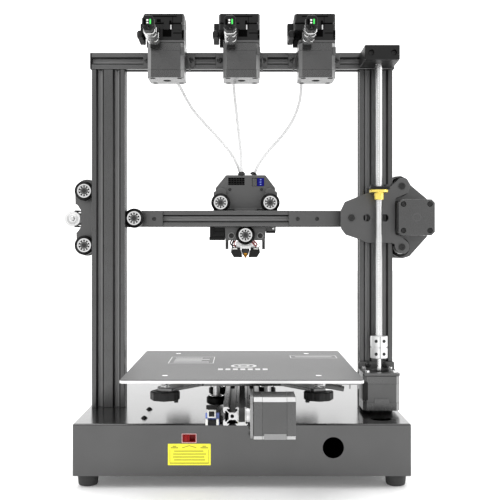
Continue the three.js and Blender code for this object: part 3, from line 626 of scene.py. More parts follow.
# the rear label, the voltage selector and its frame
label = Piece("rating_label", "frame")
LABEL = (-80.7, -33.9, 26.0, 49.4)
label.add(flat("y", rectangle(*LABEL, 0.8), rear - 0.25, rear + 0.02, r=0.05), yellow)
mark_y = (rear - 0.3, rear - 0.2)
for i, (a, b) in enumerate([(-74, -42), (-75, -39), (-75, -41), (-74, -40)]):
    z = 41.4 - i * 3.2
    label.add(block((a, b), mark_y, (z - 0.35, z + 0.35), 0.1, 1), ink)
for a, b in ((-77.5, -69.5), (-45, -37)):
    label.add(block((a, b), mark_y, (44.6, 45.4), 0.1, 1), ink)
    label.add(block((a + 2, b - 2), mark_y, (46.3, 47), 0.1, 1), ink)
for a, b in (((-65, 45), (-57.4, 47.4)), ((-57.4, 47.4), (-49.8, 45))):
    label.add(swept([(a[0], rear - 0.25, a[1]), (b[0], rear - 0.25, b[1])], 0.3, 6), ink)
for u in (-78.4, -36.2):
    label.add(block((u - 0.15, u + 0.15), mark_y, (28.2, 43), 0.05, 1), ink)
label.add(block((-78.4, -36.2), mark_y, (27.9, 28.7), 0.05, 1), ink)
label.done()

frame_piece = Piece("selector_frame", "frame", "red_plastic")
outer = rectangle(selector_hole[0] - 0.6, selector_hole[1] + 0.6, selector_z[0] - 0.6, selector_z[1] + 0.6,
    0.4)
inner = rectangle(selector_hole[0] + 0.2, selector_hole[1] - 0.2, selector_z[0] + 0.2, selector_z[1] - 0.2,
    0.2)
frame_piece.add(flat("y", outer, rear - 0.5, rear, [inner], 0.2), pink)
frame_piece.add(flat("y", rectangle(selector_hole[0] + 0.2, selector_hole[1] - 0.2, selector_z[0] + 0.2,
    selector_z[1] - 0.2), rear + 0.05, rear + 9, [rectangle(selector_hole[0] + 0.9, selector_hole[1] - 0.9,
    selector_z[0] + 0.8, selector_z[1] - 0.8)], 0.1), red)
frame_piece.add(block((selector_hole[0] + 0.9, selector_hole[1] - 0.9), (rear + 8, rear + 9),
    (selector_z[0] + 0.8, selector_z[1] - 0.8), 0.1), red)
frame_piece.done()
slider = Piece("selector_slider", "selector", "red_plastic", ["voltage_switch"])
slider.add(block((selector.x0 + 0.7, selector.x0 + 7.6), (rear + 1.2, rear + 7),
    (selector.z0 + 0.7, selector.z1 - 0.7), 0.3), red)
slider.add(block((selector.x0 + 2.9, selector.x0 + 4.7), (selector.y0, rear + 1.6),
    (selector.z0 + 0.9, selector.z1 - 0.9), 0.3), red)
slider.done()

# the mains inlet, the rocker and its frame, on the left side
inlet = Piece("mains_inlet", "frame", "black_plastic")
u0, u1 = inlet_y
w0, w1 = inlet_z
socket_outline = rounded([(u0 + 0.6, w0 + 0.6), (u1 - 0.6, w0 + 0.6), (u1 - 0.6, w1 - 4.5),
    (u1 - 4.5, w1 - 0.6), (u0 + 4.5, w1 - 0.6), (u0 + 0.6, w1 - 4.5)], 1)
tray = rectangle(u0 - 4, rocker.y1 + 5, w0 - 5, w1 + 5, 3)
rocker_mouth = rectangle(rocker.y0 - 0.3, rocker.y1 + 0.3, rocker.z - ROCKER_HALF, rocker.z + ROCKER_HALF,
    0.6)
inlet.add(flat("x", tray, -half_x - 0.6, -half_x + 0.01,
    [rectangle(u0 + 0.4, u1 - 0.4, w0 + 0.4, w1 - 0.4, 1), rocker_mouth], 0.25), moulded)
inlet.add(flat("x", rectangle(u0 + 0.2, u1 - 0.2, w0 + 0.2, w1 - 0.2, 1), -half_x + 0.02,
    INLET["depth"] - half_x - 0.2, [socket_outline], 0.2), moulded)
inlet.add(flat("x", socket_outline, INLET["depth"] - half_x - 1.5, INLET["depth"] - half_x - 0.3), moulded)
for dy, dz in ((-6.5, 0), (6.5, 0), (0, 3.2)):
    pin_y = INLET["y"] + dy
    inlet.add(block((3 - half_x, INLET["depth"] - half_x - 1), (pin_y - 1, pin_y + 1),
        (INLET["z"] + dz - 3, INLET["z"] + dz + 3), 0.4), nickel)
inlet.done()
switch = Piece("rocker_switch", "rocker", "black_plastic", ["power_rocker"])
r = (rocker.x1 - rocker.x0) / 2
arc = [(rocker.x + (r - 0.2) * math.cos(t), rocker.z + (r - 0.2) * math.sin(t)) for t in
       [math.radians(a) for a in range(122, 239, 8)]]
switch.add(flat("y", [*arc, (rocker.x + 4, rocker.z - 5), (rocker.x + 4, rocker.z + 5)], rocker.y0 + 0.2,
    rocker.y1 - 0.2, r=0.5), moulded)
for sign in (-1, 1):
    for k in range(3):
        t = math.radians(180 + sign * (14 + 9 * k))
        spot = (rocker.x + (r - 0.25) * math.cos(t), rocker.y, rocker.z + (r - 0.25) * math.sin(t))
        switch.add(block((spot[0] - 0.3, spot[0] + 0.3), (rocker.y0 + 2, rocker.y1 - 2),
            (spot[2] - 0.4, spot[2] + 0.4), 0.15, 1), moulded)
switch.done()

# the control panel on the front
panel = Piece("control_panel", "frame", "black_plastic")
PANEL = {"x0": -65, "x1": 95, "z0": 20, "z1": 65}
screen_hole = rectangle(-52, 34, 27, 58, 1)
panel.add(flat("y", rectangle(PANEL["x0"], PANEL["x1"], PANEL["z0"], PANEL["z1"], 4), front + 0.02,
    housing.y1, [screen_hole, circle(dial.x, dial.z, 3.4, 32)], 0.5), moulded)
panel.add(flat("y", rectangle(-52.5, 34.5, 26.5, 58.5), front + 0.02, front + 0.9, r=0.1), glass)
for i, (a, b) in enumerate([(-46, 8), (-46, -10), (-46, 0), (-46, 16)]):
    z = 53 - i * 7
    panel.add(block((a, b), (front + 0.8, front + 0.95), (z - 1, z + 1), 0.05, 1), screen_ink)
for z in (30, 55):
    for x in (PANEL["x0"] + 5, PANEL["x1"] - 5):
        panel.add(at(button_head(2.2, 1.0), (x, housing.y1 - 1.05, z), "y"), blackened)
panel.done()
knob = Piece("dial_knob", "dial", "black_plastic", ["control_knob"])
ridges = [(dial.x + (dial.x1 - dial.x - (0.0 if k % 2 else 0.35)) * math.cos(2 * math.pi * k / 72),
    dial.z + (dial.x1 - dial.x - (0.0 if k % 2 else 0.35)) * math.sin(2 * math.pi * k / 72)) for k in range(
    72)]
knob.add(flat("y", ridges, housing.y1 + 0.3, dial.y1 - 0.6, r=0.6), moulded)
knob.add(spun("y", (dial.x, dial.z), [(0, dial.y1 - 0.8), (9.4, dial.y1 - 0.8), (9.4, dial.y1 - 0.3),
    (8.9, dial.y1), (7, dial.y1 - 0.5), (0, dial.y1 - 0.7)], 48), moulded)
knob.add(rod("y", (dial.x, dial.z), 2.9, dial.y0, housing.y1 + 0.6), steel)
knob.add(block((dial.x - 0.4, dial.x + 0.4), (dial.y1 - 0.75, dial.y1 - 0.12), (dial.z + 4.2, dial.z + 8.6),
    0.15, 1), white_ink)
knob.done()

# ---- slotted profiles -----------------------------------------------------------------------
SLOT = [(4.95, 0), (4.6, 0.15), (3.25, 1.55), (3.1, 1.75), (3.1, 2.3), (5.5, 2.3), (5.6, 2.5), (5.6, 3.5),
    (3.2, 5.9), (3.0, 6.05), (0.5, 6.05), (0.0, 5.75)]


def slotted(width, height, u=0.0, v=0.0):
    """The section of an extrusion 20 mm wide with one or two slots a side, its outer corners chamfered."""
    half_slots = [(-a, d) for a, d in SLOT] + [(a, d) for a, d in reversed(SLOT[:-1])]
    outline = []
    for turn in range(4):
        length, across = (height, width) if turn % 2 else (width, height)
        c, s = round(math.cos(turn * math.pi / 2)), round(math.sin(turn * math.pi / 2))
        row = [(-length / 2 + 0.35, -across / 2 + 0.35), (-length / 2 + 1.0, -across / 2)]
        middle = -length / 2 + 10
        while middle < length / 2:
            row += [(middle + along, depth - across / 2) for along, depth in half_slots]
            middle += 20
        row.append((length / 2 - 1.0, -across / 2))
        outline += [(u + x * c - y * s, v + x * s + y * c) for x, y in row]
    return outline


def profile_finish(axis, u, v, width, height, outside, cut=None):
    """Picks a profile's finish: its outside, the walls of its slots painted dark as shade and their floors
    painted light, and its cut ends.
    """
    k = "xyz".index(axis)
    a, b = {"x": (1, 2), "y": (0, 2), "z": (0, 1)}[axis]

    def pick(face):
        if abs(face.normal[k]) > 0.9:
            return cut or outside
        middle = face.calc_center_median()
        depth = min(width / 2 - abs(middle[a] - u), height / 2 - abs(middle[b] - v))
        # deep slot floors get painted light, slot walls get painted shade
        return painted_slot_light if depth > 5.4 else painted_slot_shade if depth > 0.4 else outside

    return pick


BORE_R = 2.1
for name in ("left_upright", "right_upright"):
    up = Span(name)
    post = Piece(f"{name}_profile", "frame", "anodised", [name])
    bores = [circle(up.x - 10, up.y, BORE_R, 20), circle(up.x + 10, up.y, BORE_R, 20)]
    post.add(flat("z", slotted(40, 20, up.x, up.y), up.z0, up.z1, bores, 0.1),
             profile_finish("z", up.x, up.y, 40, 20, drawn_z))
    post.done()

head = Span("top_beam")
beam = Piece("top_beam_profile", "frame", "anodised", ["top_beam"])
beam.add(flat("x", slotted(20, 20, head.y, head.z), head.x0 + 2, head.x1 - 2,
    [circle(head.y, head.z, BORE_R, 20)], 0.1), profile_finish("x", head.y, head.z, 20, 20, drawn_x))
for end, inward in ((head.x0, 1), (head.x1, -1)):
    beam.add(flat("x", rectangle(head.y0, head.y1, head.z0, head.z1, 1.5), min(end, end + 2 * inward),
        max(end, end + 2 * inward), r=0.6), moulded)
beam.done()

# the screw's upper bearing block
block_span = Span("screw_top_bracket")
screw = Span("lead_screw")
top_block = Piece("screw_bearing_block", "frame", "black_plastic", ["screw_top_bracket"])
holes = [circle(screw.x - 12.5, 486.5, 3.2, 24), circle(screw.x + 13.5, 486.5, 3.2, 24)]
side_z = rectangle(block_span.x0, block_span.x1, block_span.z0, block_span.z1, 1.2)
face = flat("y", side_z, block_span.y0, block_span.y0 + 6, holes, 0.8)
rest = carved(block((block_span.x0, block_span.x1), (block_span.y0 + 5.9, block_span.y1),
    (block_span.z0, block_span.z1), 0.6), rod("z", (screw.x, screw.y), 4.6, block_span.z0 - 3,
    block_span.z1 + 3, 0, 40))
top_block.add(face, moulded).add(rest, moulded)
for x in (screw.x - 12.5, screw.x + 13.5):
    top_block.add(at(socket_head(2.6, 2), (x, block_span.y0 + 5.6, 486.5), "-y"), blackened)
top_block.add(at(turned([(4.4, 0), (7.6, 0), (7.6, 0.6), (6.6, 0.8), (4.6, 0.5), (4.4, 0)], 40),
    (screw.x, screw.y, block_span.z1 - 0.4)), nickel)
top_block.done()


# ---- motors ---------------------------------------------------------------------------------
def motor(name, body_name, span, axis, node, boss_end=None, corner=machined_and_highlight):
    """A square stepper motor: laminations between two end bells, with sunk screws at the corners."""
    made = Piece(name, body_name, "motor_case", [node])
    low_end, high_end = {"x": (span.x0, span.x1), "y": (span.y0, span.y1), "z": (span.z0, span.z1)}[axis]
    u, v = {"x": (span.y, span.z), "y": (span.x, span.z), "z": (span.x, span.y)}[axis]

    def octagon(side, corner):
        c = side - corner
        loop = [(-c, -side), (c, -side), (side, -c), (side, c), (c, side), (-c, side), (-side, c),
            (-side, -c)]
        return [(u + du, v + dv) for du, dv in loop]

    corners = [(u + du, v + dv) for du, dv in BOLT_SQUARE]
    wells = [circle(*corner, 3.1, 24) for corner in corners]
    half, depth, sunk = MOTOR_HALF, 9, 0.7
    k = "xyz".index(axis)

    # the four slanted corner faces get a lighter finish: a painted highlight
    def painted_corner_highlight(main):
        """A face's finish: its own, or the corner's painted highlight on the four slanted faces along the
        motor's axis.
        """
        return lambda face: corner if max(map(abs, face.normal)) < 0.8 and abs(face.normal[k]) < 0.3 else main

    made.add(flat(axis, octagon(half - 0.12, 4.1), low_end + depth, high_end - depth, r=0.05),
        painted_corner_highlight(laminated))
    for end, inward in ((low_end, 1), (high_end, -1)):
        made.add(flat(axis, octagon(half, 4), *sorted((end, end + inward * depth)), wells, 0.25),
            painted_corner_highlight(bell))
        if end == boss_end:
            continue
        for du, dv in corners:
            at_depth = end + inward * (sunk + 1.6)
            spot = {"x": (at_depth, du, dv), "y": (du, at_depth, dv), "z": (du, dv, at_depth)}[axis]
            made.add(at(socket_head(2.6, 1.6), spot, ("-" if inward > 0 else "") + axis), blackened)
        shaft_end = {"x": (end, u, v), "y": (u, end, v), "z": (u, v, end)}[axis]
        made.add(at(turned([(0, -0.5), (5.2, -0.5), (5.2, 0.02), (3.9, 0.02), (3.7, -0.2), (0, -0.2)], 40),
            shaft_end, ("-" if inward > 0 else "") + axis), plate)
    return made


z_motor = Span("z_motor")
z_motor_piece = motor("z_axis_motor", "frame", z_motor, "z", "z_motor")
z_motor_piece.add(block((z_motor.x - 8.5, z_motor.x + 8.5), (z_motor.y0 - 0.5, z_motor.y0 + 4),
    (z_motor.z0 + 3, z_motor.z0 + 14), 0.4), bell)
z_motor_piece.add(block((z_motor.x0 - 0.6, z_motor.x0 + 5.5), (z_motor.y0 - 0.4, z_motor.y0 + 12),
    (z_motor.z0 + 12, z_motor.z0 + 33), 0.8), moulded)
z_motor_piece.done()

bracket = Span("z_motor_bracket")
z_bracket = Piece("z_axis_bracket", "frame", "plate_steel", ["z_motor_bracket"])
z_bracket.add(slab(rectangle(bracket.x0, bracket.x1, bracket.y0, bracket.y1, 2.5), bracket.z0, bracket.z0 + 3,
    [circle(screw.x, screw.y, 11.4, 40)], 0.35), plate)
z_bracket.add(flat("y", rectangle(bracket.x0, bracket.x1, bracket.z0, bracket.z1, 1.5), bracket.y1 - 3,
    bracket.y1, r=0.35), plate)
for dx, dy in BOLT_SQUARE:
    z_bracket.add(at(socket_head(2.7, 2.6), (screw.x + dx, screw.y + dy, bracket.z0 + 3)), steel)
for dx in (-10, 10):
    z_bracket.add(at(button_head(3.6, 2), (screw.x + dx, bracket.y1 - 3, bracket.z0 + 7.4), "-y"), blackened)
z_bracket.done()

# the coupler and the screw, whose thread has four starts
lead = Piece("lead_screw_shaft", "screw", "bright_steel", ["lead_screw"])
lead.add(rod("z", (screw.x, screw.y), 2.5, screw.z0, 134), steel)
coupler_low, coupler_high = 133.6, 159.6
lead.add(at(turned([(0, coupler_low), (9.4, coupler_low), (10, coupler_low + 0.6), (10, 145.9), (8.6, 146),
    (8.6, 147.1), (10, 147.2), (10, coupler_high - 0.6), (9.4, coupler_high), (4.1, coupler_high),
    (4.0, coupler_high - 1), (0, coupler_high - 1)], 48), (screw.x, screw.y, 0)), aluminium)
for z in (coupler_low + 5.5, coupler_high - 5.5):
    for sign in (-1, 1):
        lead.add(at(socket_head(1.9, 0.5), (screw.x + sign * 4.6, screw.y - 9.2, z), "-y"), blackened)
# the coupler's slit, painted black as shade
lead.add(block((screw.x - 0.4, screw.x + 0.4), (screw.y - 10, screw.y - 8.8),
    (coupler_low + 0.4, coupler_high - 0.4), 0.1, 1), painted_shade)
PITCH, STARTS, CORE, CREST = 8.0, 4, 3.35, 4.0
steps_round, z_low, z_high = 16, coupler_high - 0.5, screw.z1 - 2
lead.add(rod("z", (screw.x, screw.y), CORE, z_low, z_high), steel)
thread = bmesh.new()
for start in range(STARTS):
    turns = (z_high - z_low - 1) / PITCH
    count = int(turns * steps_round)
    previous = None
    for k in range(count + 1):
        t = 2 * math.pi * (k / steps_round + start / STARTS)
        z = z_low + 0.3 + PITCH * k / steps_round
        c, s = math.cos(t), math.sin(t)
        ring = [thread.verts.new((screw.x + r * c, screw.y + r * s, z + dz)) for r, dz in
                ((CORE - 0.1, 0), (CREST, 0.35), (CREST, 0.95), (CORE - 0.1, 1.3))]
        if previous:
            for i in range(4):
                thread.faces.new((previous[i - 1], previous[i], ring[i], ring[i - 1]))
        else:
            thread.faces.new(ring)
        previous = ring
    thread.faces.new(previous)
bmesh.ops.recalc_face_normals(thread, faces=thread.faces)
lead.add(thread, steel)
lead.add(rod("z", (screw.x, screw.y), 3.6, screw.z1 - 2.2, screw.z1, 0.6), steel)
lead.done()

# ---- Y axis: the rail, its motor, pulley and belt ----------------------------------------------
rail_span = Span("y_rail")
y_motor = Span("y_motor")
y_pulley = Span("y_pulley")
RAIL_Z, RAIL_REAR = 84.0, -190.0
rail = Piece("y_rail_profile", "frame", "anodised", ["y_rail"])
rail.add(flat("y", slotted(40, 20, 0, RAIL_Z), RAIL_REAR, rail_span.y1,
    [rectangle(-4.6, 4.6, RAIL_Z - 5.2, RAIL_Z + 5.2, 1), circle(-10.2, RAIL_Z, 1.9, 16),
    circle(10.2, RAIL_Z, 1.9, 16)], 0.15), profile_finish("y", 0, RAIL_Z, 40, 20, drawn_y, sawn_and_highlight))
rail.done()
cheek_x = (y_motor.x0 - 3.3, y_motor.x0 - 0.3)
y_bracket = Piece("y_motor_bracket", "frame", "plate_steel")
cheek = rounded([(RAIL_REAR, 74.5), (RAIL_REAR, y_motor.z1), (y_motor.y0 + 6, y_motor.z1),
    (y_motor.y0, y_motor.z1 - 6), (y_motor.y0, 76), (y_motor.y0 + 4, y_motor.z0 + 0.8)], 2.5)
y_bracket.add(flat("x", cheek, *cheek_x, [circle(y_motor.y, y_motor.z, 11.4, 40)], 0.35), machined_and_highlight)
y_bracket.add(flat("y", rectangle(cheek_x[0], 20, 74.5, 93.5, 2), RAIL_REAR - 3, RAIL_REAR - 0.05, r=0.35),
    aluminium)
for dy, dz in BOLT_SQUARE:
    y_bracket.add(at(button_head(2.6, 1.6), (cheek_x[0], y_motor.y + dy, y_motor.z + dz), "-x"), blackened)
y_bracket.add(at(socket_head(3.2, 3), (14.2, RAIL_REAR - 3, 84), "-y"), blackened)
y_bracket.done()

# its slanted corners get the pale sawn finish as a painted highlight
y_motor_piece = motor("y_axis_motor", "frame", y_motor, "x", "y_motor", boss_end=y_motor.x0, corner=sawn_and_highlight)
y_motor_piece.add(block((y_motor.x0 + 10.5, y_motor.x1 - 9.5), (y_motor.y0 - 0.4, y_motor.y0 + 4),
    (y_motor.z0 + 0.6, y_motor.z0 + 6.5), 0.3), machined_and_highlight)
y_motor_piece.done()

TOOTH = 2.0


def toothed_pulley(made, axis, centre, middle, hub_end, shaft_end, teeth=20):
    """A timing pulley with flanges, a hub, and the shaft in it."""
    step = -1 if hub_end < middle else 1
    row = []
    for k in range(teeth * 4):
        t = 2 * math.pi * k / (teeth * 4)
        r = 5.35 if k % 4 in (0, 1) else 4.75
        row.append((centre[0] + r * math.cos(t), centre[1] + r * math.sin(t)))
    made.add(flat(axis, row, middle - 3.3, middle + 3.3, r=0.1), aluminium)
    for flange in (middle - step * 4.3, middle + step * 3.3):
        made.add(rod(axis, centre, 8, flange, flange + step * 1.0, 0.3, 40), aluminium)
    made.add(rod(axis, centre, 7.2, middle + step * 4.25, hub_end, 0.4, 40), aluminium)
    made.add(rod(axis, centre, 2.5, *sorted((middle - step * 4.4, shaft_end)), 0.3), steel)
    return made


pulley = Piece("y_axis_pulley", "y_drive", "bright_steel", ["y_pulley"])
toothed_pulley(pulley, "x", (y_pulley.y, y_pulley.z), 0.2, y_pulley.x1 - 4.2, y_pulley.x1)
pulley.done()

# the toothed belt that pulls the bed: over the rail, down at its front end and back through it
BELT_R, BELT_THICK, BELT_HALF = 6.37, 1.4, 3.0
front_wheel = (rail_span.y1 - 9, 92.8)


def belt_loop(centres):
    """The outline of a belt round two pulleys, its teeth on the inside, as (outer loop, inner loop)."""
    (a0, b0), (a1, b1) = centres
    outer, inner = [], []
    run = math.hypot(a1 - a0, b1 - b0)
    n = int(run / TOOTH) * 2
    for (cu, cv), phase in (((a0, b0), math.pi / 2), ((a1, b1), -math.pi / 2)):
        for k in range(21):
            t = phase + math.pi * k / 20
            outer.append((cu + (BELT_R + BELT_THICK / 2) * math.cos(t),
                cv + (BELT_R + BELT_THICK / 2) * math.sin(t)))
            inner.append((cu + (BELT_R - BELT_THICK / 2) * math.cos(t),
                cv + (BELT_R - BELT_THICK / 2) * math.sin(t)))
        start, end = ((a0, a1) if phase > 0 else (a1, a0))
        level = b0 + (-(BELT_R - BELT_THICK / 2) if phase > 0 else (BELT_R - BELT_THICK / 2))
        outward = 1 if level > b0 else -1
        for k in range(1, n):
            u = start + (end - start) * k / n
            inner.append((u, level + outward * (0.0 if k % 2 else 0.7)))
    return outer, inner


y_belt = Piece("y_belt_loop", "frame", "belt_rubber")
outer, inner = belt_loop([(y_pulley.y, y_pulley.z), front_wheel])
y_belt.add(flat("x", outer, 0.2 - BELT_HALF, 0.2 + BELT_HALF, [inner], 0.1), belting)
y_belt.done()
tensioner = Piece("y_belt_tensioner", "frame", "black_plastic")
tensioner.add(block((-9, -4.2), (front_wheel[0] - 8, rail_span.y1), (94.2, 101.5), 0.6), moulded)
tensioner.add(block((4.6, 9.4), (front_wheel[0] - 8, rail_span.y1), (94.2, 101.5), 0.6), moulded)
tensioner.add(rod("x", front_wheel, 5.2, -3.6, 4, 0.3, 40), aluminium)
tensioner.add(rod("x", front_wheel, 1.6, -9.5, 9.9), steel)
tensioner.done()

# the bed's end switch beside the rail's rear end
stop = Piece("y_end_switch", "frame")
stop.add(block((-39.5, -24.5), (-171, -169.4), (71.2, 84), 0.2), pale_blue)
stop.add(block((-37.2, -28), (-176.5, -171), (79.5, 88), 0.5), white_plastic)
stop.add(block((-35.6, -29.6), (-177, -176.3), (81, 86.6), 0.2), moulded)
stop.add(block((-38.6, -26.2), (-175, -170), (88.5, 92.5), 0.4), moulded)
for x in (-37.9, -26.1):
    stop.add(block((x - 1.3, x + 1.3), (-178.5, -171), (72, 78.5), 0.4), white_plastic)
stop.add(block((-37, -27), (-176, -171), (72, 77), 0.4), moulded)
stop.done()

# ---- the bed ------------------------------------------------------------------------------------
bed = Span("build_plate")
knobs = [Span(f"level_knob_{k}") for k in (1, 2, 3, 4)]
wheels = [Span(f"bed_wheel_{k}") for k in (1, 2, 3, 4)]
SHEET_LOW, SHEET_TOP = 109.7, 113.2


def hull(circles, n=14):
    """The outline round a row of circles, given in counter-clockwise order."""
    made = []
    count = len(circles)
    for i, (u, v, r) in enumerate(circles):
        angles = []
        for (u0, v0, r0), (u1, v1, r1) in ((circles[i - 1], circles[i]),
                (circles[i], circles[(i + 1) % count])):
            along = math.atan2(v1 - v0, u1 - u0)
            angles.append(along - math.acos((r0 - r1) / math.hypot(u1 - u0, v1 - v0)))
        start, end = angles
        while end < start:
            end += 2 * math.pi
        steps = max(1, int(n * (end - start) / math.pi))
        made += [(u + r * math.cos(start + (end - start) * k / steps),
            v + r * math.sin(start + (end - start) * k / steps)) for k in range(steps + 1)]
    return made


arms = Piece("bed_carriage_plate", "bed", "plate_steel", ["bed_carriage"])
corners = [(k.x, k.y) for k in knobs]
cross = rounded([(corners[0][0] - 7, corners[0][1] - 7), (corners[0][0] + 7, corners[0][1] - 9),
    (-44, -150), (44, -150), (corners[1][0] - 7, corners[1][1] - 9), (corners[1][0] + 7, corners[1][1] - 7),
    (corners[1][0] + 9, corners[1][1] + 7), (46, -118), (42, -56), (corners[3][0] + 9, corners[3][1] - 7),
    (corners[3][0] + 7, corners[3][1] + 7), (corners[3][0] - 7, corners[3][1] + 9), (40, -10), (-40, -10),
    (corners[2][0] + 7, corners[2][1] + 9), (corners[2][0] - 7, corners[2][1] + 7),
    (corners[2][0] - 9, corners[2][1] - 7), (-42, -56), (-46, -118),
    (corners[0][0] - 9, corners[0][1] + 7),], 7)
window_holes = [hull([(-14, -84, 8), (14, -84, 8)]), hull([(-12, -132, 5), (12, -132, 5)]),
    hull([(-12, -34, 5), (12, -34, 5)])]
arms.add(slab(cross, SHEET_LOW, SHEET_TOP, window_holes, 0.4), sheet)
for x, y in corners:
    arms.add(rod("z", (x, y), 2, 98, SHEET_TOP + 0.6, 0.4, 20), steel)
for w in wheels:
    arms.add(rod("z", (w.x, w.y), 3.9, SHEET_LOW - 0.1, w.z1 - 1, 0.3), aluminium)
    arms.add(at(socket_head(4.1, 3), (w.x, w.y, SHEET_TOP)), steel)
    arms.add(at(hex_nut(4.5, 3.4), (w.x, w.y, w.z0 + 0.6), "-z"), steel)
for x in (-11, 11):
    arms.add(block((x - 2.5, x + 2.5), (-96, -72), (98, SHEET_LOW), 0.6), moulded)
arms.done()

springs = Piece("bed_springs", "bed", "bright_steel")
for x, y in corners:
    low_z, high_z, loops = SHEET_TOP + 0.5, bed.z0 - 0.6, 3.6
    helix = [(x + 4.4 * math.cos(t), y + 4.4 * math.sin(t),
        low_z + (high_z - low_z) * k / 90) for k in range(91) for t in [2 * math.pi * loops * k / 90]]
    springs.add(swept(helix, 0.55, 8), steel)
    springs.add(at(washer(5.4, 2.1, 0.5), (x, y, SHEET_TOP)), steel)
    springs.add(rod("z", (x, y), 1.9, SHEET_TOP, bed.z0, 0.2, 20), steel)
springs.done()

plate_piece = Piece("heated_plate", "bed", "platform", ["build_plate"])
bed_outline = rectangle(bed.x0, bed.x1, bed.y0, bed.y1, 4)
plate_piece.add(slab(bed_outline, bed.z0, bed.z1 - 1.0, r=0.3), aluminium)
plate_piece.add(slab(rectangle(bed.x0 + 0.6, bed.x1 - 0.6, bed.y0 + 0.6, bed.y1 - 0.6, 3.6), bed.z1 - 1.0,
    bed.z1 - 0.12, r=0.12), platform)
for x, y in corners:
    plate_piece.add(at(turned([(0, 0), (3.3, 0), (3.3, 0.1), (1.4, 0.12), (1.1, 0.02), (0, 0.02)], 28),
        (x, y, bed.z1 - 0.12)), steel)
plate_piece.done()

# generic pale marks printed on the coating
marks = Piece("bed_marks", "bed")
mark_low, mark_high = bed.z1 - 0.13, bed.z1 - 0.05


def stroke(u0, u1, v0, v1):
    marks.add(block((u0, u1), (v0, v1), (mark_low, mark_high), 0, 1), white_ink)


for x0, x1, y0, y1, rows in ((-88, -34, -82, -22, 4), (60, 118, -34, -8, 1)):
    stroke(x0, x1, y0, y0 + 0.9)
    stroke(x0, x1, y1 - 0.9, y1)
    stroke(x0, x0 + 0.9, y0, y1)
    stroke(x1 - 0.9, x1, y0, y1)
    for k in range(rows):
        v = y0 + (y1 - y0) * (k + 1) / (rows + 1)
        stroke(x0 + 6, x1 - 6 - 9 * (k % 2), v - 1.6, v + 1.6)
for k in range(7):
    stroke(-27 + k * 8.4, -21.5 + k * 8.4, -138, -126)
marks.add(slab(circle(2, -104, 15, 48), mark_low, mark_high, [circle(2, -104, 11.6, 48)], 0.01), white_ink)
marks.add(slab(circle(2, -104, 7, 40), mark_low, mark_high, [circle(2, -104, 4.2, 40)], 0.01), white_ink)
marks.done()

# the bed's cable: a bracket on its rear right corner and a braided sleeve
lead_in = Piece("bed_cable_clamp", "bed")
lead_in.add(block((88, 106), (bed.y0 + 13, bed.y0 + 15), (bed.z0 - 9, bed.z0 - 0.1), 0.6), aluminium)
lead_in.add(swept(smooth([(88, bed.y0 + 9, bed.z0 - 3.8), (97, bed.y0 + 9, bed.z0 - 5.0),
    (107, bed.y0 + 9, bed.z0 - 6.8)]), 2.8, 16), sleeve)
lead_in.add(block((100, 124), (bed.y0 + 4, bed.y0 + 12), (bed.z0 - 1.8, bed.z0 - 0.1), 0.5), machined_and_highlight)
for x in (113, 122):
    lead_in.add(block((x - 0.7, x + 0.7), (bed.y0 + 4, bed.y0 + 6), (bed.z0 - 6, bed.z0 - 1), 0.3), machined_and_highlight)
lead_in.done()

for n, k in enumerate(knobs, 1):
    wheel_knob = Piece(f"level_wheel_{n}", f"level_knob_{n}", "black_plastic", [f"level_knob_{n}"])
    lobed = [(k.x + r * math.cos(t), k.y + r * math.sin(t)) for t in [
        2 * math.pi * i / 112 for i in range(112)] for r in [15.3 + 0.65 * math.cos(8 * t) ** 3]]
    wheel_knob.add(slab(lobed, k.z0 + 1.2, k.z1, [circle(k.x, k.y, 2.3, 24)], 0.9), moulded)
    wheel_knob.add(at(turned([(2.3, 0), (6.4, 0), (7, 0.6), (7, 3), (2.3, 3), (2.3, 0)], 32),
        (k.x, k.y, k.z0)), moulded)
    inner_x = k.x - math.copysign(12.2, k.x)
    wheel_knob.add(block((inner_x - 2.2, inner_x + 2.2), (k.y - 5, k.y - 0.5), (k.z0 - 1.6, k.z0 + 2), 0.7),
        moulded)
    wheel_knob.add(slab(circle(k.x, k.y, 3.6, 6), k.z0, k.z0 + 1.5, [circle(k.x, k.y, 2.15, 20)], 0.2),
        nickel)
    wheel_knob.done()


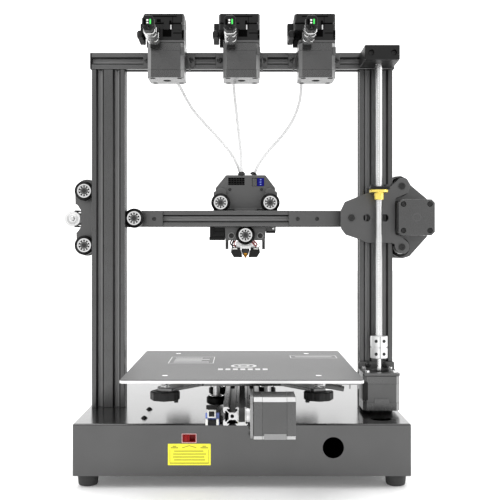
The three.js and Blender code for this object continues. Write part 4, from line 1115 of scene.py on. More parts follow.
# ---- wheels ---------------------------------------------------------------------------------------
def wheel(name, body_name, span, axis):
    """A V wheel: a glossy black tyre on a bright bearing ring, with a shield inside it whose slots are
    painted as dark petals of shade.
    """
    made = Piece(name, body_name, "wheel_rubber", [body_name])
    centre, mid = {"y": ((span.x, span.z), span.y), "z": ((span.x, span.y), span.z)}[axis]
    half, tip, big = 5.1, 2.9, 11.8
    rim = big - (half - tip)
    profile = [(8.5, mid - half), (rim - 0.5, mid - half), (rim, mid - half + 0.4),
        (big - 0.15, mid - tip - 0.15), (big, mid - tip + 0.2), (big, mid + tip - 0.2),
        (big - 0.15, mid + tip + 0.15), (rim, mid + half - 0.4), (rim - 0.5, mid + half), (8.5, mid + half),
        (8.5, mid + half - 0.7), (8.5, mid - half + 0.7), (8.5, mid - half)]
    made.add(spun(axis, centre, profile, 56), tyre)
    for sign in (-1, 1):
        out = mid + sign * (half - 0.25)
        ring = [(8.55, out - sign * 1.2), (8.55, out - sign * 0.2), (8.35, out), (6.8, out),
            (6.6, out - sign * 0.25), (6.6, out - sign * 1.2)]
        made.add(spun(axis, centre, [*ring, ring[0]], 56), steel)
        shield = out - sign * 0.75
        made.add(spun(axis, centre, [(2.9, shield - sign * 0.5), (2.9, shield), (6.65, shield),
            (6.65, shield - sign * 0.5), (2.9, shield - sign * 0.5)], 48), nickel)
        # the shield's slots: dark petals of painted shade laid on the shield
        for k in range(10):
            t = 2 * math.pi * (k + 0.5) / 10
            c, s = math.cos(t), math.sin(t)
            petal = [(centre[0] + r * c - w * s, centre[1] + r * s + w * c) for r, w in
                     ((4.5, -0.62), (6.5, -1.05), (6.5, 1.05), (4.5, 0.62))]
            a, b = sorted((shield - sign * 0.05, shield + sign * 0.16))
            made.add(flat(axis, petal, a, b, r=0.05), painted_shade)
    return made.done()


for n, w in enumerate(wheels, 1):
    wheel(f"bed_v_wheel_{n}", f"bed_wheel_{n}", w, "z")

# ---- the gantry ---------------------------------------------------------------------------------
GANTRY_Z = 298.5  # the X beam's middle
x_beam = Span("x_beam")
beam_x1 = 185.0
BEAM_Y = -32.0
cross_beam = Piece("x_beam_profile", "gantry", "anodised", ["x_beam"])
cross_beam.add(flat("x", slotted(20, 20, BEAM_Y, GANTRY_Z), -beam_x1, beam_x1,
    [circle(BEAM_Y, GANTRY_Z, BORE_R, 20)], 0.12), profile_finish("x", BEAM_Y, GANTRY_Z, 20, 20, drawn_x))
cross_beam.done()

idler_span = Span("x_idler")
fork = Piece("x_idler_fork", "gantry", "plate_steel")
fork.add(flat("y", rectangle(x_beam.x0, -168, 291, 306, 3), BEAM_Y + 10.05, BEAM_Y + 12.5, r=0.35), plate)
fork.add(rod("y", (idler_span.x, GANTRY_Z), 2.5, BEAM_Y - 8, BEAM_Y + 11, 0.3), steel)
fork.add(block((-207, -200.5), (BEAM_Y - 7.5, BEAM_Y + 10.5), (GANTRY_Z + 8.4, GANTRY_Z + 10.4), 0.5),
    moulded)
fork.add(block((-207, -200.5), (BEAM_Y - 7.5, BEAM_Y + 10.5), (GANTRY_Z - 10.4, GANTRY_Z - 8.4), 0.5),
    moulded)
fork.add(at(button_head(3.2, 1.6), (idler_span.x, BEAM_Y + 12.4, GANTRY_Z), "y"), steel)
for x in (-178, -172):
    fork.add(at(button_head(2.6, 1.4), (x, BEAM_Y + 12.4, GANTRY_Z), "y"), blackened)
fork.done()

idler = Piece("x_idler_wheel", "idler", "bright_steel", ["x_idler"])
y = BEAM_Y
idler.add(spun("y", (idler_span.x, GANTRY_Z), [(2.8, y - 3.3), (2.8, y - 4.0), (4.4, y - 4.0), (4.7, y - 4.3),
    (9.5, y - 4.5), (10, y - 4.1), (10, y - 3.4), (9.6, y - 3.2), (5.4, y - 3.1), (5.4, y + 3.1),
    (9.6, y + 3.2), (10, y + 3.4), (10, y + 4.1), (9.5, y + 4.5), (4.7, y + 4.3), (2.8, y + 4.3),
    (2.8, y - 3.3)], 56), aluminium)
idler.add(spun("y", (idler_span.x, GANTRY_Z), [(4.5, y - 4.35), (6.6, y - 4.62), (6.9, y - 4.62),
    (6.9, y - 4.3), (4.5, y - 4.2), (4.5, y - 4.35)], 48), nickel)
idler.done()

gantry_wheels = [Span(f"gantry_wheel_{k}") for k in range(1, 7)]
END_PLATE = {"rear": -48.0, "front": -45.0}
left = Piece("left_end_plate", "gantry", "plate_steel", ["left_plate"])
g1, g2, g3 = gantry_wheels[:3]
left_outline = hull([(g2.x + 25, g2.z + 7, 8), (g1.x + 25, g1.z - 7, 8), (g1.x + 1, g1.z, 15),
    (g2.x + 1, g2.z, 13)], 20)
notch = rounded([(-222, 315.8), (-202, 315.8), (-197.3, 308.4), (-197.3, 288.4), (-202, 281.4),
    (-222, 281.4)], 3)
left.add(carved(flat("y", left_outline, END_PLATE["rear"], END_PLATE["front"], r=0.35),
    flat("y", notch, END_PLATE["rear"] - 2, END_PLATE["front"] + 2, r=0.01),
    rod("y", (-187.5, 299), 2.6, END_PLATE["rear"] - 2, END_PLATE["front"] + 2, 0, 24)), plate)
left.add(flat("y", hull([(g3.x, g3.z - 1, 10), (-186, GANTRY_Z, 10)], 20), END_PLATE["rear"] + 0.1,
    END_PLATE["front"] - 0.1, r=0.3), plate)
left.add(at(socket_head(2.2, 0.4), (-187.5, END_PLATE["front"] + 0.2 - 2.4, 299), "-y"), blackened)


def strap(made, x0, x1, screws):
    """The bar that joins an end plate to the beam's rear face."""
    rear_y, front_y = -47.0, -42.3
    made.add(flat("y", rectangle(x0, x1, GANTRY_Z - 9.5, GANTRY_Z + 9.5, 1.0), rear_y, front_y, r=0.35),
        plate)
    for x in screws:
        made.add(at(button_head(2.5, 1.0), (x, rear_y, GANTRY_Z - 0.3), "-y"), blackened)


strap(left, -184, -97.4, (-107.8,))
left.done()

SLEEVE_R = 3.9


def axle_front(made, w):
    """The cap and the washer on the bolt of a wheel that is seen from behind."""
    made.add(at(turned([(0, 0), (4.3, 0), (4.3, 0.4), (4.1, 0.6), (0, 0.6)], 36), (w.x, w.y - 4.3, w.z),
        "-y"), bell)
    made.add(at(washer(3.6, 2.2, 0.5), (w.x, w.y - 4.8, w.z), "-y"), plate)


axles = Piece("gantry_axles", "gantry", "bright_steel")
for k, w in enumerate(gantry_wheels):
    plate_y = END_PLATE["rear"] if k < 3 else -73.0
    side = -1 if k < 3 else 1
    inner_face = w.y - side * (5.1 - 0.9 + 0.3)
    axles.add(rod("y", (w.x, w.z), SLEEVE_R, plate_y, inner_face, 0.3), aluminium)
    axles.add(rod("y", (w.x, w.z), 2.4, plate_y, w.y + side * (6.0 if k < 3 else 8), 0.3),
        blackened if k < 3 else steel)
    if k < 3:
        axle_front(axles, w)
        axles.add(at(button_head(4.6, 2.4), (w.x, END_PLATE["front"], w.z), "y"), blackened)
    else:
        axles.add(at(hex_nut(4.35, 2.2), (w.x, w.y + 4.6, w.z), "y"), steel)
        axles.add(at(socket_head(4.0, 1.8), (w.x, -76, w.z), "-y"), blackened)
        axles.add(at(washer(5.0, 4.0, 0.5), (w.x, -76, w.z), "-y"), plate)
axles.done()

right = Piece("right_end_plate", "gantry", "plate_steel", ["right_front_plate"])
motor_at = Span("x_motor")
outline = rounded([(178, 252), (185.1, 250.3), (196.7, 249.8), (204.9, 252.4), (226.5, 276.5),
    (226.5, 322.4), (206.4, 339.1), (202, 347), (194, 350.8), (186, 350), (178, 344)], 3)
right.add(flat("y", outline, END_PLATE["rear"], END_PLATE["front"],
    [circle(motor_at.x, GANTRY_Z, 11.4, 40)], 0.35), plate)
strap(right, 57, 188, (67.9, 91.6))
for du, dv in BOLT_SQUARE:
    right.add(at(button_head(2.7, 1.6), (motor_at.x + du, END_PLATE["front"], GANTRY_Z + dv), "y"), blackened)
right.done()

back_plate = Piece("rear_plate", "gantry", "plate_steel", ["right_rear_plate"])
REAR_PLATE = {"rear": -76.0, "front": -73.0}
outline = rounded([(117.5, 307.1), (117.5, 288.3), (118.6, 285), (123.5, 278.4), (139.4, 273),
    (148.2, 268.5), (178.8, 268.5), (181.8, 266.6), (183.6, 259.5), (188, 255.9), (194, 255.7),
    (198.6, 259.5), (199.6, 264.5), (197.6, 269.6), (190.3, 276.3), (182.8, 279), (182.8, 321.4),
    (197.7, 327.8), (200, 335), (198.4, 342), (193, 345.9), (187.8, 345.6), (174.9, 334.3), (151, 328.8),
    (139.4, 324.4), (122.5, 317.5)], 2.2)
back_plate.add(flat("y", outline, REAR_PLATE["rear"], REAR_PLATE["front"],
    [circle(148.7, GANTRY_Z, 4.2, 36), circle(170.5, GANTRY_Z, 4.2, 36)], 0.35), plate)
back_plate.add(flat("y", rectangle(151, 174, 320, 334.3, 1.2), REAR_PLATE["rear"] + 0.05,
    REAR_PLATE["front"] - 0.05, r=0.3), plate)
tab_span = Span("right_rear_plate")
back_plate.add(slab(rectangle(149, 172, tab_span.y0, REAR_PLATE["rear"] + 0.6, 2), 331.3, 334.3,
    [circle(screw.x, screw.y, 6, 32)], 0.35), moulded)
for x in (screw.x - 8, screw.x + 8):
    back_plate.add(at(socket_head(2.4, 2.6), (x, screw.y - 1, 334.3)), blackened)
back_plate.done()

nut = Piece("lead_screw_nut", "gantry", "brass", ["lead_nut"])
nut.add(at(turned([(4.3, 319), (5.3, 319), (5.6, 319.4), (5.6, 327.4), (10.6, 327.4), (11, 327.8),
    (11, 330.6), (10.6, 331), (4.3, 331), (4.3, 319)], 48), (screw.x, screw.y, 0)), brass)
for k in range(4):
    t = math.pi / 4 + k * math.pi / 2
    nut.add(at(button_head(1.7, 0.8), (screw.x + 8.2 * math.cos(t), screw.y + 8.2 * math.sin(t), 327.5),
        "-z"), blackened)
nut.done()

x_motor_piece = motor("x_axis_motor", "gantry", motor_at, "y", "x_motor", boss_end=motor_at.y1)
x_motor_piece.done()
x_pulley = Span("x_pulley")
x_pulley_piece = Piece("x_axis_pulley", "x_drive", "bright_steel", ["x_pulley"])
toothed_pulley(x_pulley_piece, "y", (motor_at.x, GANTRY_Z), BEAM_Y, END_PLATE["front"] + 0.5, x_pulley.y0)
x_pulley_piece.done()
x_belt = Piece("x_belt_loop", "gantry", "belt_rubber", ["x_belt"])
outer, inner = belt_loop([(motor_at.x, GANTRY_Z), (idler_span.x, GANTRY_Z)])
x_belt.add(flat("y", outer[::-1], BEAM_Y - BELT_HALF, BEAM_Y + BELT_HALF, [inner[::-1]], 0.1), belting)
x_belt.done()
for n, w in enumerate(gantry_wheels, 1):
    wheel(f"gantry_v_wheel_{n}", f"gantry_wheel_{n}", w, "y")

# ---- the carriage and its hot end ---------------------------------------------------------------
cover = Span("hotend_cover")
hot = Span("hot_end")
CARRIAGE_X = 4.0
NOZZLE_Y = -3
FAN_Z = 336  # the height of the hood's fan, and of the screws on its rear face
carriage_wheels = [Span(f"carriage_wheel_{k}") for k in (1, 2, 3)]
carriage_sheet = Piece("carriage_sheet", "carriage", "plate_steel", ["carriage_plate"])
outline = rounded([(-36, 304), (-36, 332), (-28, 338), (-21, 336), (-18, 312), (26, 312), (29, 336),
    (36, 338), (44, 332), (44, 304), (38, 300), (30, 294), (28.6, 272), (-21.2, 272), (-22, 294),
    (-30, 300)], 1.5)
tab_slots = [rectangle(CARRIAGE_X - 17 + i * 6.2, CARRIAGE_X - 17 + i * 6.2 + 3.6, 304.4, 307.4,
    0.8) for i in range(6)]
carriage_sheet.add(flat("y", outline, -21, -18, tab_slots, 0.3), plate)
for w in carriage_wheels:
    carriage_sheet.add(rod("y", (w.x, w.z), SLEEVE_R, -21.1, w.y + 4.6, 0.3), aluminium)
    carriage_sheet.add(rod("y", (w.x, w.z), 2.4, -21.1, w.y - 6.0, 0.3), blackened)
    axle_front(carriage_sheet, w)
for x in (-13.6, 22.6):
    carriage_sheet.add(at(washer(4.2, 3.1, 0.5), (x, -21, 277.7), "-y"), machined_and_highlight)
    carriage_sheet.add(at(socket_head(3.1, 1.8), (x, -21, 277.7), "-y"), blackened)
# the ends of the belt in their clamps
for sign in (-1, 1):
    carriage_sheet.add(block((CARRIAGE_X + sign * 14, CARRIAGE_X + sign * 23), (-36, -21),
        (GANTRY_Z + 10.3, GANTRY_Z + 12.6), 0.5), moulded)
carriage_sheet.done()
for n, w in enumerate(carriage_wheels, 1):
    wheel(f"carriage_v_wheel_{n}", f"carriage_wheel_{n}", w, "y")



def blades(made, centre, count, corners, a, b, material):
    """A fan's blades between a and b along Y; corners are (radius, angle) from each blade's own angle."""
    for k in range(count):
        t = 2 * math.pi * k / count
        blade = [(centre[0] + r * math.cos(t + turn), centre[1] + r * math.sin(t + turn)) for r,
            turn in corners]
        made.add(flat("y", blade, a, b, r=0.05), material)


# the cover: an eight-sided housing whose side panels slope away from its rear face
hood_left, hood_right = -20.4, 29.2
hood = bmesh.new()
loop = [(cover.x0, cover.z0), (hood_left, cover.z0), (hood_right, cover.z0), (cover.x1, cover.z0),
    (cover.x1, 338.2), (hood_right, cover.z1), (hood_left, cover.z1), (cover.x0, 338.2)]
near = [hood.verts.new((x, cover.y0 + 0.2 + (4.4 if x in (cover.x0, cover.x1) else 0), z)) for x, z in loop]
far = [hood.verts.new((x, cover.y1 - 0.2 - (3 if x in (cover.x0, cover.x1) else 0), z)) for x, z in loop]
for ring in (near, far):
    for quad in ((0, 1, 6, 7), (1, 2, 5, 6), (2, 3, 4, 5)):
        hood.faces.new([ring[i] for i in quad])
for i in range(8):
    hood.faces.new((near[i - 1], near[i], far[i], far[i - 1]))
bmesh.ops.recalc_face_normals(hood, faces=hood.faces)
bent = [e for e in hood.edges if e.calc_face_angle(0) > 0.1]
bmesh.ops.bevel(hood, geom=bent, offset=0.9, segments=3, profile=0.5, affect="EDGES")
grille = (-17.6, 2.9, 341.5, 350.9)
port = (12.3, 27.7, 340.0, 350.5)
cuts = [block((grille[0], grille[1]), (cover.y0 - 5, cover.y0 + 4), (grille[2], grille[3]), 0),
        block((port[0], port[1]), (cover.y0 - 5, cover.y0 + 5), (port[2], port[3]), 0)]
for i in range(4):
    cuts.append(block((-16, 24), (cover.y1 - 2, cover.y1 + 4), (308 + i * 6, 310.6 + i * 6), 0))
cuts.append(rod("y", (CARRIAGE_X, FAN_Z), 8.5, cover.y1 - 1.5, cover.y1 + 4, 0, 48))
hood = carved(hood, *cuts)
hood_piece = Piece("hot_end_hood", "carriage", "black_plastic", ["hotend_cover"])
hood_piece.add(hood, shell)
for x in (-15.6, 24.1):
    hood_piece.add(at(washer(2.7, 1.9, 0.25), (x, cover.y0 + 0.2, FAN_Z), "-y"), shell)
    hood_piece.add(at(button_head(1.9, 0.5), (x, cover.y0 + 0.2, FAN_Z), "-y"), blackened)
# a black sheet of painted shade behind the grille
hood_piece.add(block((grille[0], grille[1]), (cover.y0 + 3.6, cover.y0 + 4.2), (grille[2], grille[3]), 0),
    painted_shade)
for k in range(1, 6):
    x = grille[0] + (grille[1] - grille[0]) * k / 6
    hood_piece.add(block((x - 0.45, x + 0.45), (cover.y0 + 0.9, cover.y0 + 3.8), (grille[2], grille[3]),
        0.1, 1), moulded)
for k in range(1, 4):
    z = grille[2] + (grille[3] - grille[2]) * k / 4
    hood_piece.add(block((grille[0], grille[1]), (cover.y0 + 1.2, cover.y0 + 3.6), (z - 0.4, z + 0.4), 0.1,
        1), moulded)
hood_piece.add(block((port[0], port[1]), (cover.y0 + 4.4, cover.y0 + 5.2), (port[2], port[3]), 0), moulded)
hood_piece.add(block((port[0] + 0.4, port[0] + 6.0), (cover.y0 + 1.0, cover.y0 + 4.6),
    (port[2] + 0.5, port[3] - 0.5), 0.4), shell)
hood_piece.add(block((port[0] + 2.0, port[0] + 4.6), (cover.y0 + 0.7, cover.y0 + 2.6),
    (port[2] + 3.0, port[3] - 2.0), 0.4), bell)
hood_piece.add(block((port[0] + 6.6, port[1] - 0.3), (cover.y0 + 0.3, cover.y0 + 4.6),
    (port[2] + 0.2, port[3] - 0.2), 0.4), blue)
for k in range(3):
    z = port[2] + 2.3 + 3.0 * k
    hood_piece.add(block((port[1] - 5.6, port[1] - 3.6), (cover.y0 + 0.12, cover.y0 + 0.5),
        (z - 0.7, z + 0.7), 0.1, 1), pale_blue)
# a black strip of painted shade along the hood's lower edge
hood_piece.add(block((CARRIAGE_X - 12.5, CARRIAGE_X + 10.5), (cover.y0, cover.y0 + 1.0),
    (cover.z0 + 1.2, cover.z0 + 2.4), 0.3), painted_shade)
# the part-cooling fan behind its round opening on the front, with a black disc of painted shade behind it
hood_piece.add(rod("y", (CARRIAGE_X, FAN_Z), 8.4, cover.y1 - 1.6, cover.y1 - 1.3, 0.1, 48), painted_shade)
hood_piece.add(rod("y", (CARRIAGE_X, FAN_Z), 3.4, cover.y1 - 1.5, cover.y1 - 0.5, 0.3, 32), moulded)
blades(hood_piece, (CARRIAGE_X, FAN_Z), 7, ((3.2, 0), (8.0, 0.35), (8.0, 0.75), (3.2, 0.5)), cover.y1 - 1.3,
    cover.y1 - 0.8, moulded)
hood_piece.done()

couplings = Piece("tube_couplings", "carriage", "bright_steel")
for route in TUBE_ROUTES:
    end, before = Vector(route[-1]), Vector(route[-2])
    along = (before - end).normalized()
    lean = Vector((0, 0, 1)).rotation_difference(along).to_matrix().to_4x4()
    for profile, finish in (
        ([(2.1, -2.6), (4.2, -2.6), (4.6, -2.2), (4.6, -0.4), (4.0, 0), (2.1, 0), (2.1, -2.6)], blackened),
        ([(2.15, 0), (3.5, 0), (3.5, 1.2), (2.15, 1.6), (2.15, 0)], moulded),
    ):
        fitting = turned(profile, 28)
        fitting.transform(Matrix.Translation(end) @ lean)
        couplings.add(fitting, finish)
couplings.done()

# heat sink, heater block, nozzle, ducts, probe and wires
hot_core = Piece("hot_end_core", "carriage", "brass", ["hot_end"])
sink = [(0, 268), (3, 268), (3, 271)]
for k in range(4):
    z = 271 + k * 6
    sink += [(11, z), (11, z + 2.6), (8, z + 2.6), (8, z + 6)]
sink += [(11, 295), (11, 300), (0, 300)]
hot_core.add(at(turned(sink, 48), (CARRIAGE_X, NOZZLE_Y, 0)), aluminium)
hot_core.add(block((-8, 16), (-12.3, 9), (263.4, 270.6), 0.8), aluminium)
hot_core.add(block((-1, 9), (-12, 5), (256, 263.6), 0.6), blackened)
hot_core.add(block((-3.6, 11.6), (-13.4, -12.2), (261.4, 266.4), 0.5), steel)
hot_core.add(at(turned([(0, hot.z0), (0.5, hot.z0), (0.9, hot.z0 + 0.4), (1.2, hot.z0 + 1.2), (2.7, 253.2),
    (3.4, 253.6), (3.4, 254.2), (0, 254.2)], 36), (CARRIAGE_X, NOZZLE_Y, 0)), hot_brass)
hot_core.add(at(slab(circle(0, 0, 4.0, 6), 254.0, 257.0, r=0.3), (CARRIAGE_X, NOZZLE_Y, 0)), hot_brass)
hot_core.add(at(turned([(0, 256.9), (4.6, 256.9), (4.6, 259), (0, 259)], 32), (CARRIAGE_X, NOZZLE_Y, 0)),
    bell)
hot_core.done()

SIDE_WHEEL = (-31, 286.5)  # the middle of the small bladed wheel on the shroud, x and z
shroud = Piece("hot_end_shroud", "carriage", "black_plastic")
for x0, x1 in ((-21.2, -17.4), (25.0, 28.7)):
    shroud.add(block((x0, x1), (-17.4, -9), (260.6, 285), 0.4), shell)
    shroud.add(block((x0 + 1.2, x1 - 1.2), (-17.7, -17.2), (261.8, 270.5), 0.2), moulded)
for sign in (-1, 1):
    duct = [(CARRIAGE_X + sign * u, z) for u, z in ((17.4, 263.2), (18.4, 256.8), (14.6, 250.6), (3.8, 250.6),
        (7.0, 263.2))]
    shroud.add(flat("y", rounded(duct[::sign], 0.6), -17.4, -12.5, r=0.5), moulded)
    shroud.add(flat("y", rounded(duct[::sign], 0.6), -12.4, 6, r=0.5), moulded)
for x0, x1 in ((-12.4, -6.4), (14.4, 20.4)):
    shroud.add(block((x0, x1), (-17.6, -17.2), (260.6, 262.2), 0.3), white_plastic)
for x, lean in ((-0.9, 1), (8.9, -1)):
    shroud.add(swept([(x - 2.0 * lean, -15.4, 260.6), (x + 1.2 * lean, -15.4, 254.6)], 0.8, 8), aluminium)
shroud.add(block((-21, 28.4), (-17.5, 12), (284.2, 300.3), 0.8), shell)
shroud.add(block((-41, -21.4), (-16.4, 8), (274.6, 299), 1.2), moulded)
shroud.add(block((-41.6, -21.6), (-17.5, -12), (272.0, 276.6), 1.0), sensor_black)
shroud.add(block((-35, -22.4), (-17.5, -12), (288, 297.8), 0.8), shell)
shroud.add(block((-40.6, -36.0), (-17.5, -15), (278, 298.4), 0.6), sensor_black)
shroud.add(block((-35, -22.4), (-17.45, -15), (278.6, 283.4), 0.5), sensor_black)
shroud.add(block((29, 42.2), (-17.5, -4), (283, 299), 0.8), shell)
shroud.add(block((30, 41.8), (-17.6, -6), (281.1, 284), 0.4), moulded)
shroud.add(at(button_head(1.6, 0.6), (39, -17.4, 287), "-y"), steel)
shroud.add(spun("y", SIDE_WHEEL, [(0, 6.5), (8.6, 6.5), (9.4, 7.2), (9.4, 8), (8.6, 8), (8.6, 7.2),
    (0, 7.2)], 40), moulded)
blades(shroud, SIDE_WHEEL, 9, ((3, 0), (8.2, 0.3), (8.2, 0.5), (3, 0.4)), 7.1, 7.7, shell)
shroud.done()

wires = Piece("hot_end_wires", "carriage")
for finish, r, points in (
    (wire_red, 0.9, [(16, -12, 262), (17.4, -15, 264.5), (14.2, -15.6, 267.5), (12, -15, 271.5)]),
    (wire_red, 0.9, [(16.5, -11, 264.5), (18.6, -14.6, 267), (16, -15.6, 270), (13.5, -15, 272.4)]),
    (wire_white, 0.6, [(18.4, -12, 262), (21.4, -15.4, 263.6), (22.6, -15.8, 266.8), (20.2, -15.4, 269.4)]),
    (wire_black, 1.0, [(-8, -12, 261), (-11.6, -15, 263), (-12.6, -15.6, 267.6), (-10.4, -15, 272)]),
    (wire_red, 0.8, [(-8, -11, 263.6), (-9.6, -14.8, 264.8), (-10.2, -15.4, 268.6), (-8.4, -15, 272)]),
    (wire_black, 0.8, [(-8, -12, 265.4), (-13.6, -15.2, 266), (-15, -15.4, 269.4), (-13, -15, 272)]),
):
    wires.add(swept(smooth(points, 6), r, 10), finish)
wires.done()

# ---- feeders ------------------------------------------------------------------------------------
FEEDER_FACE = -70.3  # the brackets' front faces, just behind the top beam
FEEDER_REAR = -118
PIN_Y = -84  # the pins on which the levers turn
for n in (1, 2, 3):
    feeder_motor = Span(f"feeder_motor_{n}")
    feeder_lever = Span(f"feeder_lever_{n}")
    middle_x = feeder_motor.x
    face = FEEDER_FACE
    m = motor(f"feeder_stepper_{n}", "frame", feeder_motor, "z", f"feeder_motor_{n}")
    m.add(block((feeder_motor.x1 - 3.8, feeder_motor.x1 + 0.3),
        (feeder_motor.y0 - 0.3, feeder_motor.y0 + 10), (484, 493), 0.6), plate)
    # the screw holes and the middle hole on the motor's underside, painted black as shade
    for dx, dy, r in [(u, v, 2.9) for v in (-BOLT, BOLT) for u in (-BOLT, BOLT)] + [(0, 0, 4.6)]:
        m.add(rod("z", (middle_x + dx, feeder_motor.y + dy), r, feeder_motor.z0 - 0.15,
            feeder_motor.z0 + 0.4, 0.1, 28), painted_shade)
    m.done()
    path = middle_x - 12
    case = Piece(f"feeder_housing_{n}", "frame", "black_plastic", [f"feeder_body_{n}"])
    shelf_z = (498.0, 501.0)
    case.add(slab(rectangle(middle_x - 21.1, middle_x + 21.1, feeder_motor.y0, face, 2), *shelf_z, r=0.35),
        plate)
    ears = [(middle_x - 31, 478.5), (middle_x + 31, 478.5), (middle_x + 31, 495.8), (middle_x + 21, 495.8),
        (middle_x + 21, 501), (middle_x - 21, 501), (middle_x - 21, 495.8), (middle_x - 31, 495.8)]
    case.add(flat("y", rounded(ears, 1.5), face - 3, face, r=0.35), plate)
    for x in (middle_x - 26, middle_x + 26):
        case.add(at(washer(4.0, 2.6, 0.6), (x, face - 3, 487), "-y"), bell)
        case.add(at(button_head(3.5, 1.8), (x, face - 3.5, 487), "-y"), blackened)
    x0, x1 = middle_x - 26, middle_x + MOTOR_HALF
    low_part = rounded([(x0, -82), (middle_x - 17, -82), (middle_x - 17, FEEDER_REAR), (x1, FEEDER_REAR),
        (x1, -76), (x0, -76)], 1.0)
    case.add(slab(low_part, 501.0, 512.6, r=0.4), moulded)
    upper = rounded([(x0 + 2, FEEDER_REAR), (x1 - 1.5, FEEDER_REAR), (x1, -115), (x1, -76), (x0, -76),
        (x0, -114)], 1.2)
    case.add(slab(upper, 512.2, 519.2, r=0.5), moulded)
    # a black band of painted shade in the seam between the case's two layers
    case.add(slab([(u, v + 0.3) for u, v in inset(upper, 0.7)], 519.1, 520.6, r=0.05), painted_shade)
    case.add(slab(upper, 520.5, 531.2, r=0.8), moulded)
    case.add(block((x1 - 3.4, x1 - 0.2), (FEEDER_REAR, -112), (501.6, 530.6), 0.8), bell)
    # the face seen from behind: a window, a guide slot, a scale and the tension block; the openings and
    # grooves are black painted shade
    for u0, u1, w0, w1, proud, finish in ((-10.4, -5.7, 521.4, 524.8, 0.2, painted_shade),
            (4.3, 6.5, 518.5, 523.1, 0.2, painted_shade), (-3.6, 6.5, 504.5, 513.4, 0.2, painted_shade),
            (-2.2, 3.8, 512.6, 526.2, 0.7, moulded), (-17.5, 12.5, 527.2, 528.4, 0.25, painted_shade),
            (5.3, 6.6, 512.8, 518.0, 0.5, white_ink), (-9.8, -4.2, 506, 511.4, 0.4, moulded),
            (8.5, 20.2, 508.2, 509.3, 0.2, painted_shade), (7.6, 8.2, 514, 527, 0.25, painted_shade)):
        case.add(block((middle_x + u0, middle_x + u1), (FEEDER_REAR - proud, -116), (w0, w1), 0.15), finish)
    for x, y in ((x0 + 6, -82), (x1 - 5, -82), (x1 - 5, -112), (x0 + 10, -112)):
        case.add(at(socket_head(2.6, 0.3), (x, y, 531.2)), blackened)
    case.add(at(turned([(0, 0), (6.4, 0), (6.4, 0.2), (5.9, 0.28), (0, 0.28)], 40), (middle_x, -97, 531.2)),
        moulded)
    # lever pin and its hinge block
    case.add(block((middle_x - 32.7, x0 + 4), (-87, -76), (511.3, 527.5), 0.8), moulded)
    case.add(rod("z", (feeder_lever.x0 + 3.4, PIN_Y), 1.5, 503, 512, 0.2, 24), steel)
    # inlet tube, its neck and the filament sensor behind it
    case.add(block((path - 5, path + 5), (-126, -117.6), (490, 515), 0.7), moulded)
    sleeve_section = [(path + u, 498 + w) for u, w in ((-4, -6), (4, -6), (6.4, -3.4), (6.4, 4.4), (4.6, 6),
        (-4.6, 6), (-6.4, 4.4), (-6.4, -3.4))]
    for a, b, grow, finish in ((-184, -173, 0, nickel), (-173, -170, -0.8, bell), (-170, -150, 0, nickel),
            (-150, -147, -0.8, bell), (-147, -133, 0, nickel)):
        case.add(flat("y", [tuple(v) for v in inset(sleeve_section, -grow)] if grow else sleeve_section, a,
            b, r=0.5), finish)
    case.add(block((path - 2.6, path + 2.2), (-183, -140), (491.8, 492.4), 0.2), steel)
    case.done()

    sensor = Piece(f"filament_sensor_{n}", "frame", "black_plastic")
    z0, z1 = 493.4, 512.0
    sensor_outline = rounded([(path - 6.5, z0 + 4), (path - 3.5, z0), (path + 3.5, z0),
        (path + 6.5, z0 + 4), (path + 6.5, z1 - 6), (path + 4, z1 - 2.4), (path - 4, z1 - 2.4),
        (path - 6.5, z1 - 6)], 1.0)
    sensor.add(flat("y", sensor_outline, -194.4, -184, [circle(path, 497, 1.9, 24)], 0.7), sensor_black)
    sensor.add(at(turned([(0, 0), (2.4, 0), (2.4, 1.6), (1.9, 2.3), (0, 2.3)], 28),
        (path - 0.6, -189, z1 - 2.5)), sensor_black)
    sensor.add(block((path + 1.6, path + 3.2), (-194.9, -193), (z0 + 6.6, z0 + 12), 0.3), green)
    for k in range(2):
        z = z0 + 8.0 + 2.8 * k
        sensor.add(block((path - 1.6, path + 0.4), (-194.8, -193), (z - 0.8, z + 0.8), 0.2), white_plastic)
    # a recess on the sensor's face, painted black as shade
    sensor.add(block((path - 4.8, path - 2.4), (-194.7, -193), (z0 + 6, z0 + 12), 0.3), painted_shade)
    for x in (path - 4.8, path + 4.8):
        sensor.add(at(button_head(1.0, 0.4), (x, -194.3, z0 + 5.0), "-y"), blackened)
    sensor.done()

    outlet = Piece(f"feeder_outlet_{n}", "frame", "bright_steel")
    outlet.add(flat("y", circle(path, TUBE["exit_z"], 4.5, 6), -75.9, -68, r=0.4), brass)
    outlet.add(rod("y", (path, TUBE["exit_z"]), 3.8, -68.2, -56, 0.4, 32), nickel)
    outlet.add(spun("y", (path, TUBE["exit_z"]), [(2.2, -56.2), (4.0, -56.2), (4.0, -53.6), (3.0, -52.8),
        (3.0, -51.2), (2.2, -50.8), (2.2, -56.2)], 32), moulded)
    outlet.done()

    lever = Piece(f"feeder_arm_{n}", f"feeder_lever_{n}", "black_plastic", [f"feeder_lever_{n}"])
    pin_x = feeder_lever.x0 + 3.3
    lever.add(slab(hull([(pin_x, PIN_Y, 3.3), (pin_x + 0.4, -119, 2.9)][::-1]), feeder_lever.z0 + 0.1,
        feeder_lever.z1 - 0.1, [circle(pin_x, PIN_Y, 1.8, 24)], 0.5), moulded)
    lever.add(block((pin_x - 1.6, pin_x + 2.6), (feeder_lever.y0 + 0.3, feeder_lever.y0 + 3),
        (feeder_lever.z0 + 0.8, feeder_lever.z1 - 0.8), 0.6), moulded)
    for k in range(4):
        y = FEEDER_REAR + 2.6 * k
        lever.add(block((feeder_lever.x0, feeder_lever.x0 + 1.0), (y - 0.6, y + 0.6),
            (feeder_lever.z0 + 1, feeder_lever.z1 - 1), 0.25, 1), moulded)
    lever.done()

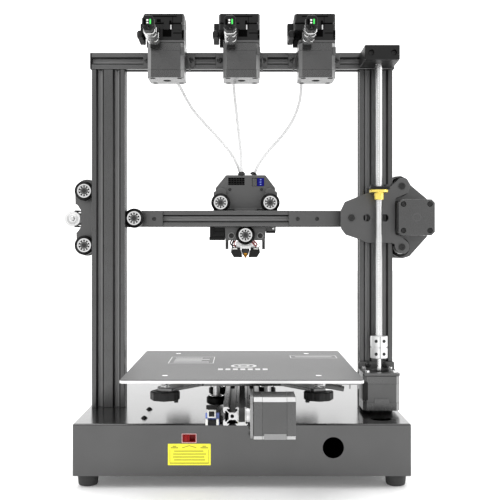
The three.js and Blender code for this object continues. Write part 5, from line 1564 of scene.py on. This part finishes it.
# the feeders' cables, down the beam into its slot
looms = Piece("feeder_cables", "frame")
for n in (1, 2, 3):
    feeder_motor = Span(f"feeder_motor_{n}")
    side = -1 if n == 3 else 1
    x = feeder_motor.x1 if side > 0 else feeder_motor.x0
    for k in range(2):
        looms.add(swept(smooth([(x - side * 0.4, -110 + k * 1.6, 490), (x + side * 1.8, -100, 487),
            (x + side * 3.2 + side * k, -82, 482), (x + side * (2.6 + k), -74, 478.4),
            (x + side * (2.6 + k), -66, 476.2), (x + side * (2.6 + k), -58, 476.0)], 6), 0.6, 8),
            wire_black)
looms.done()

# ---- what is carried over from the CAD model: what the closed base hides -----------------------
for node, finish in (("power_supply", galvanised), ("control_board", circuit)):
    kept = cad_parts[node]
    kept.data.materials.clear()
    kept.data.materials.append(finish)
    edge = kept.modifiers.new("edges", "BEVEL")
    edge.width, edge.segments, edge.limit_method = 0.0004, 1, "ANGLE"

# ---- floor and light ----------------------------------------------------------------------------
floor_finish = surface("floor", srgb(246), 0.55, grain=60, bump=0.0, mottle=0.006, glow=0.12)
floor_bm = bmesh.new()
bmesh.ops.create_grid(floor_bm, x_segments=8, y_segments=8, size=6)
floor_mesh = bpy.data.meshes.new("floor")
floor_bm.to_mesh(floor_mesh)
floor_bm.free()
floor_mesh.materials.append(floor_finish)
floor = bpy.data.objects.new("floor", floor_mesh)
scene.collection.objects.link(floor)
floor.location = (0, 2, -0.0002)

world = bpy.data.worlds.new("studio")
world.use_nodes = True
sky, sky_links = world.node_tree.nodes, world.node_tree.links
around = sky.new("ShaderNodeTexCoord")
axis_of = sky.new("ShaderNodeSeparateXYZ")
backdrop = node_in(sky, "MapRange", From_Min=-0.2, From_Max=0.9, To_Min=1.0, To_Max=1.75)
sky_links.new(around.outputs["Generated"], axis_of.inputs["Vector"])
sky_links.new(axis_of.outputs["Y"], backdrop.inputs["Value"])
sky["Background"].inputs["Color"].default_value = (1, 1, 1, 1)
sky_links.new(backdrop.outputs["Result"], sky["Background"].inputs["Strength"])
scene.world = world


def soft_light(name, place, target, size, power):
    lamp = bpy.data.lights.new(name, "AREA")
    lamp.shape, lamp.size, lamp.size_y, lamp.energy = "RECTANGLE", size[0], size[1], power
    made = bpy.data.objects.new(name, lamp)
    scene.collection.objects.link(made)
    made.location = place
    made.rotation_euler = (Vector(target) - Vector(place)).to_track_quat("-Z", "Y").to_euler()
    return made


soft_light("key", (-1.1, -1.2, 1.7), (0, 0, 0.25), (1.2, 1.2), 16)
soft_light("fill", (1.5, -0.4, 1.0), (0, 0, 0.25), (1.0, 1.4), 9)
soft_light("top", (0, 0.5, 2.2), (0, 0, 0.2), (1.8, 1.4), 22)
scene.view_settings.view_transform = "Standard"

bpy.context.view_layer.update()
for name, length in tube_lengths:
    print(f"{name} {length:.4f}")
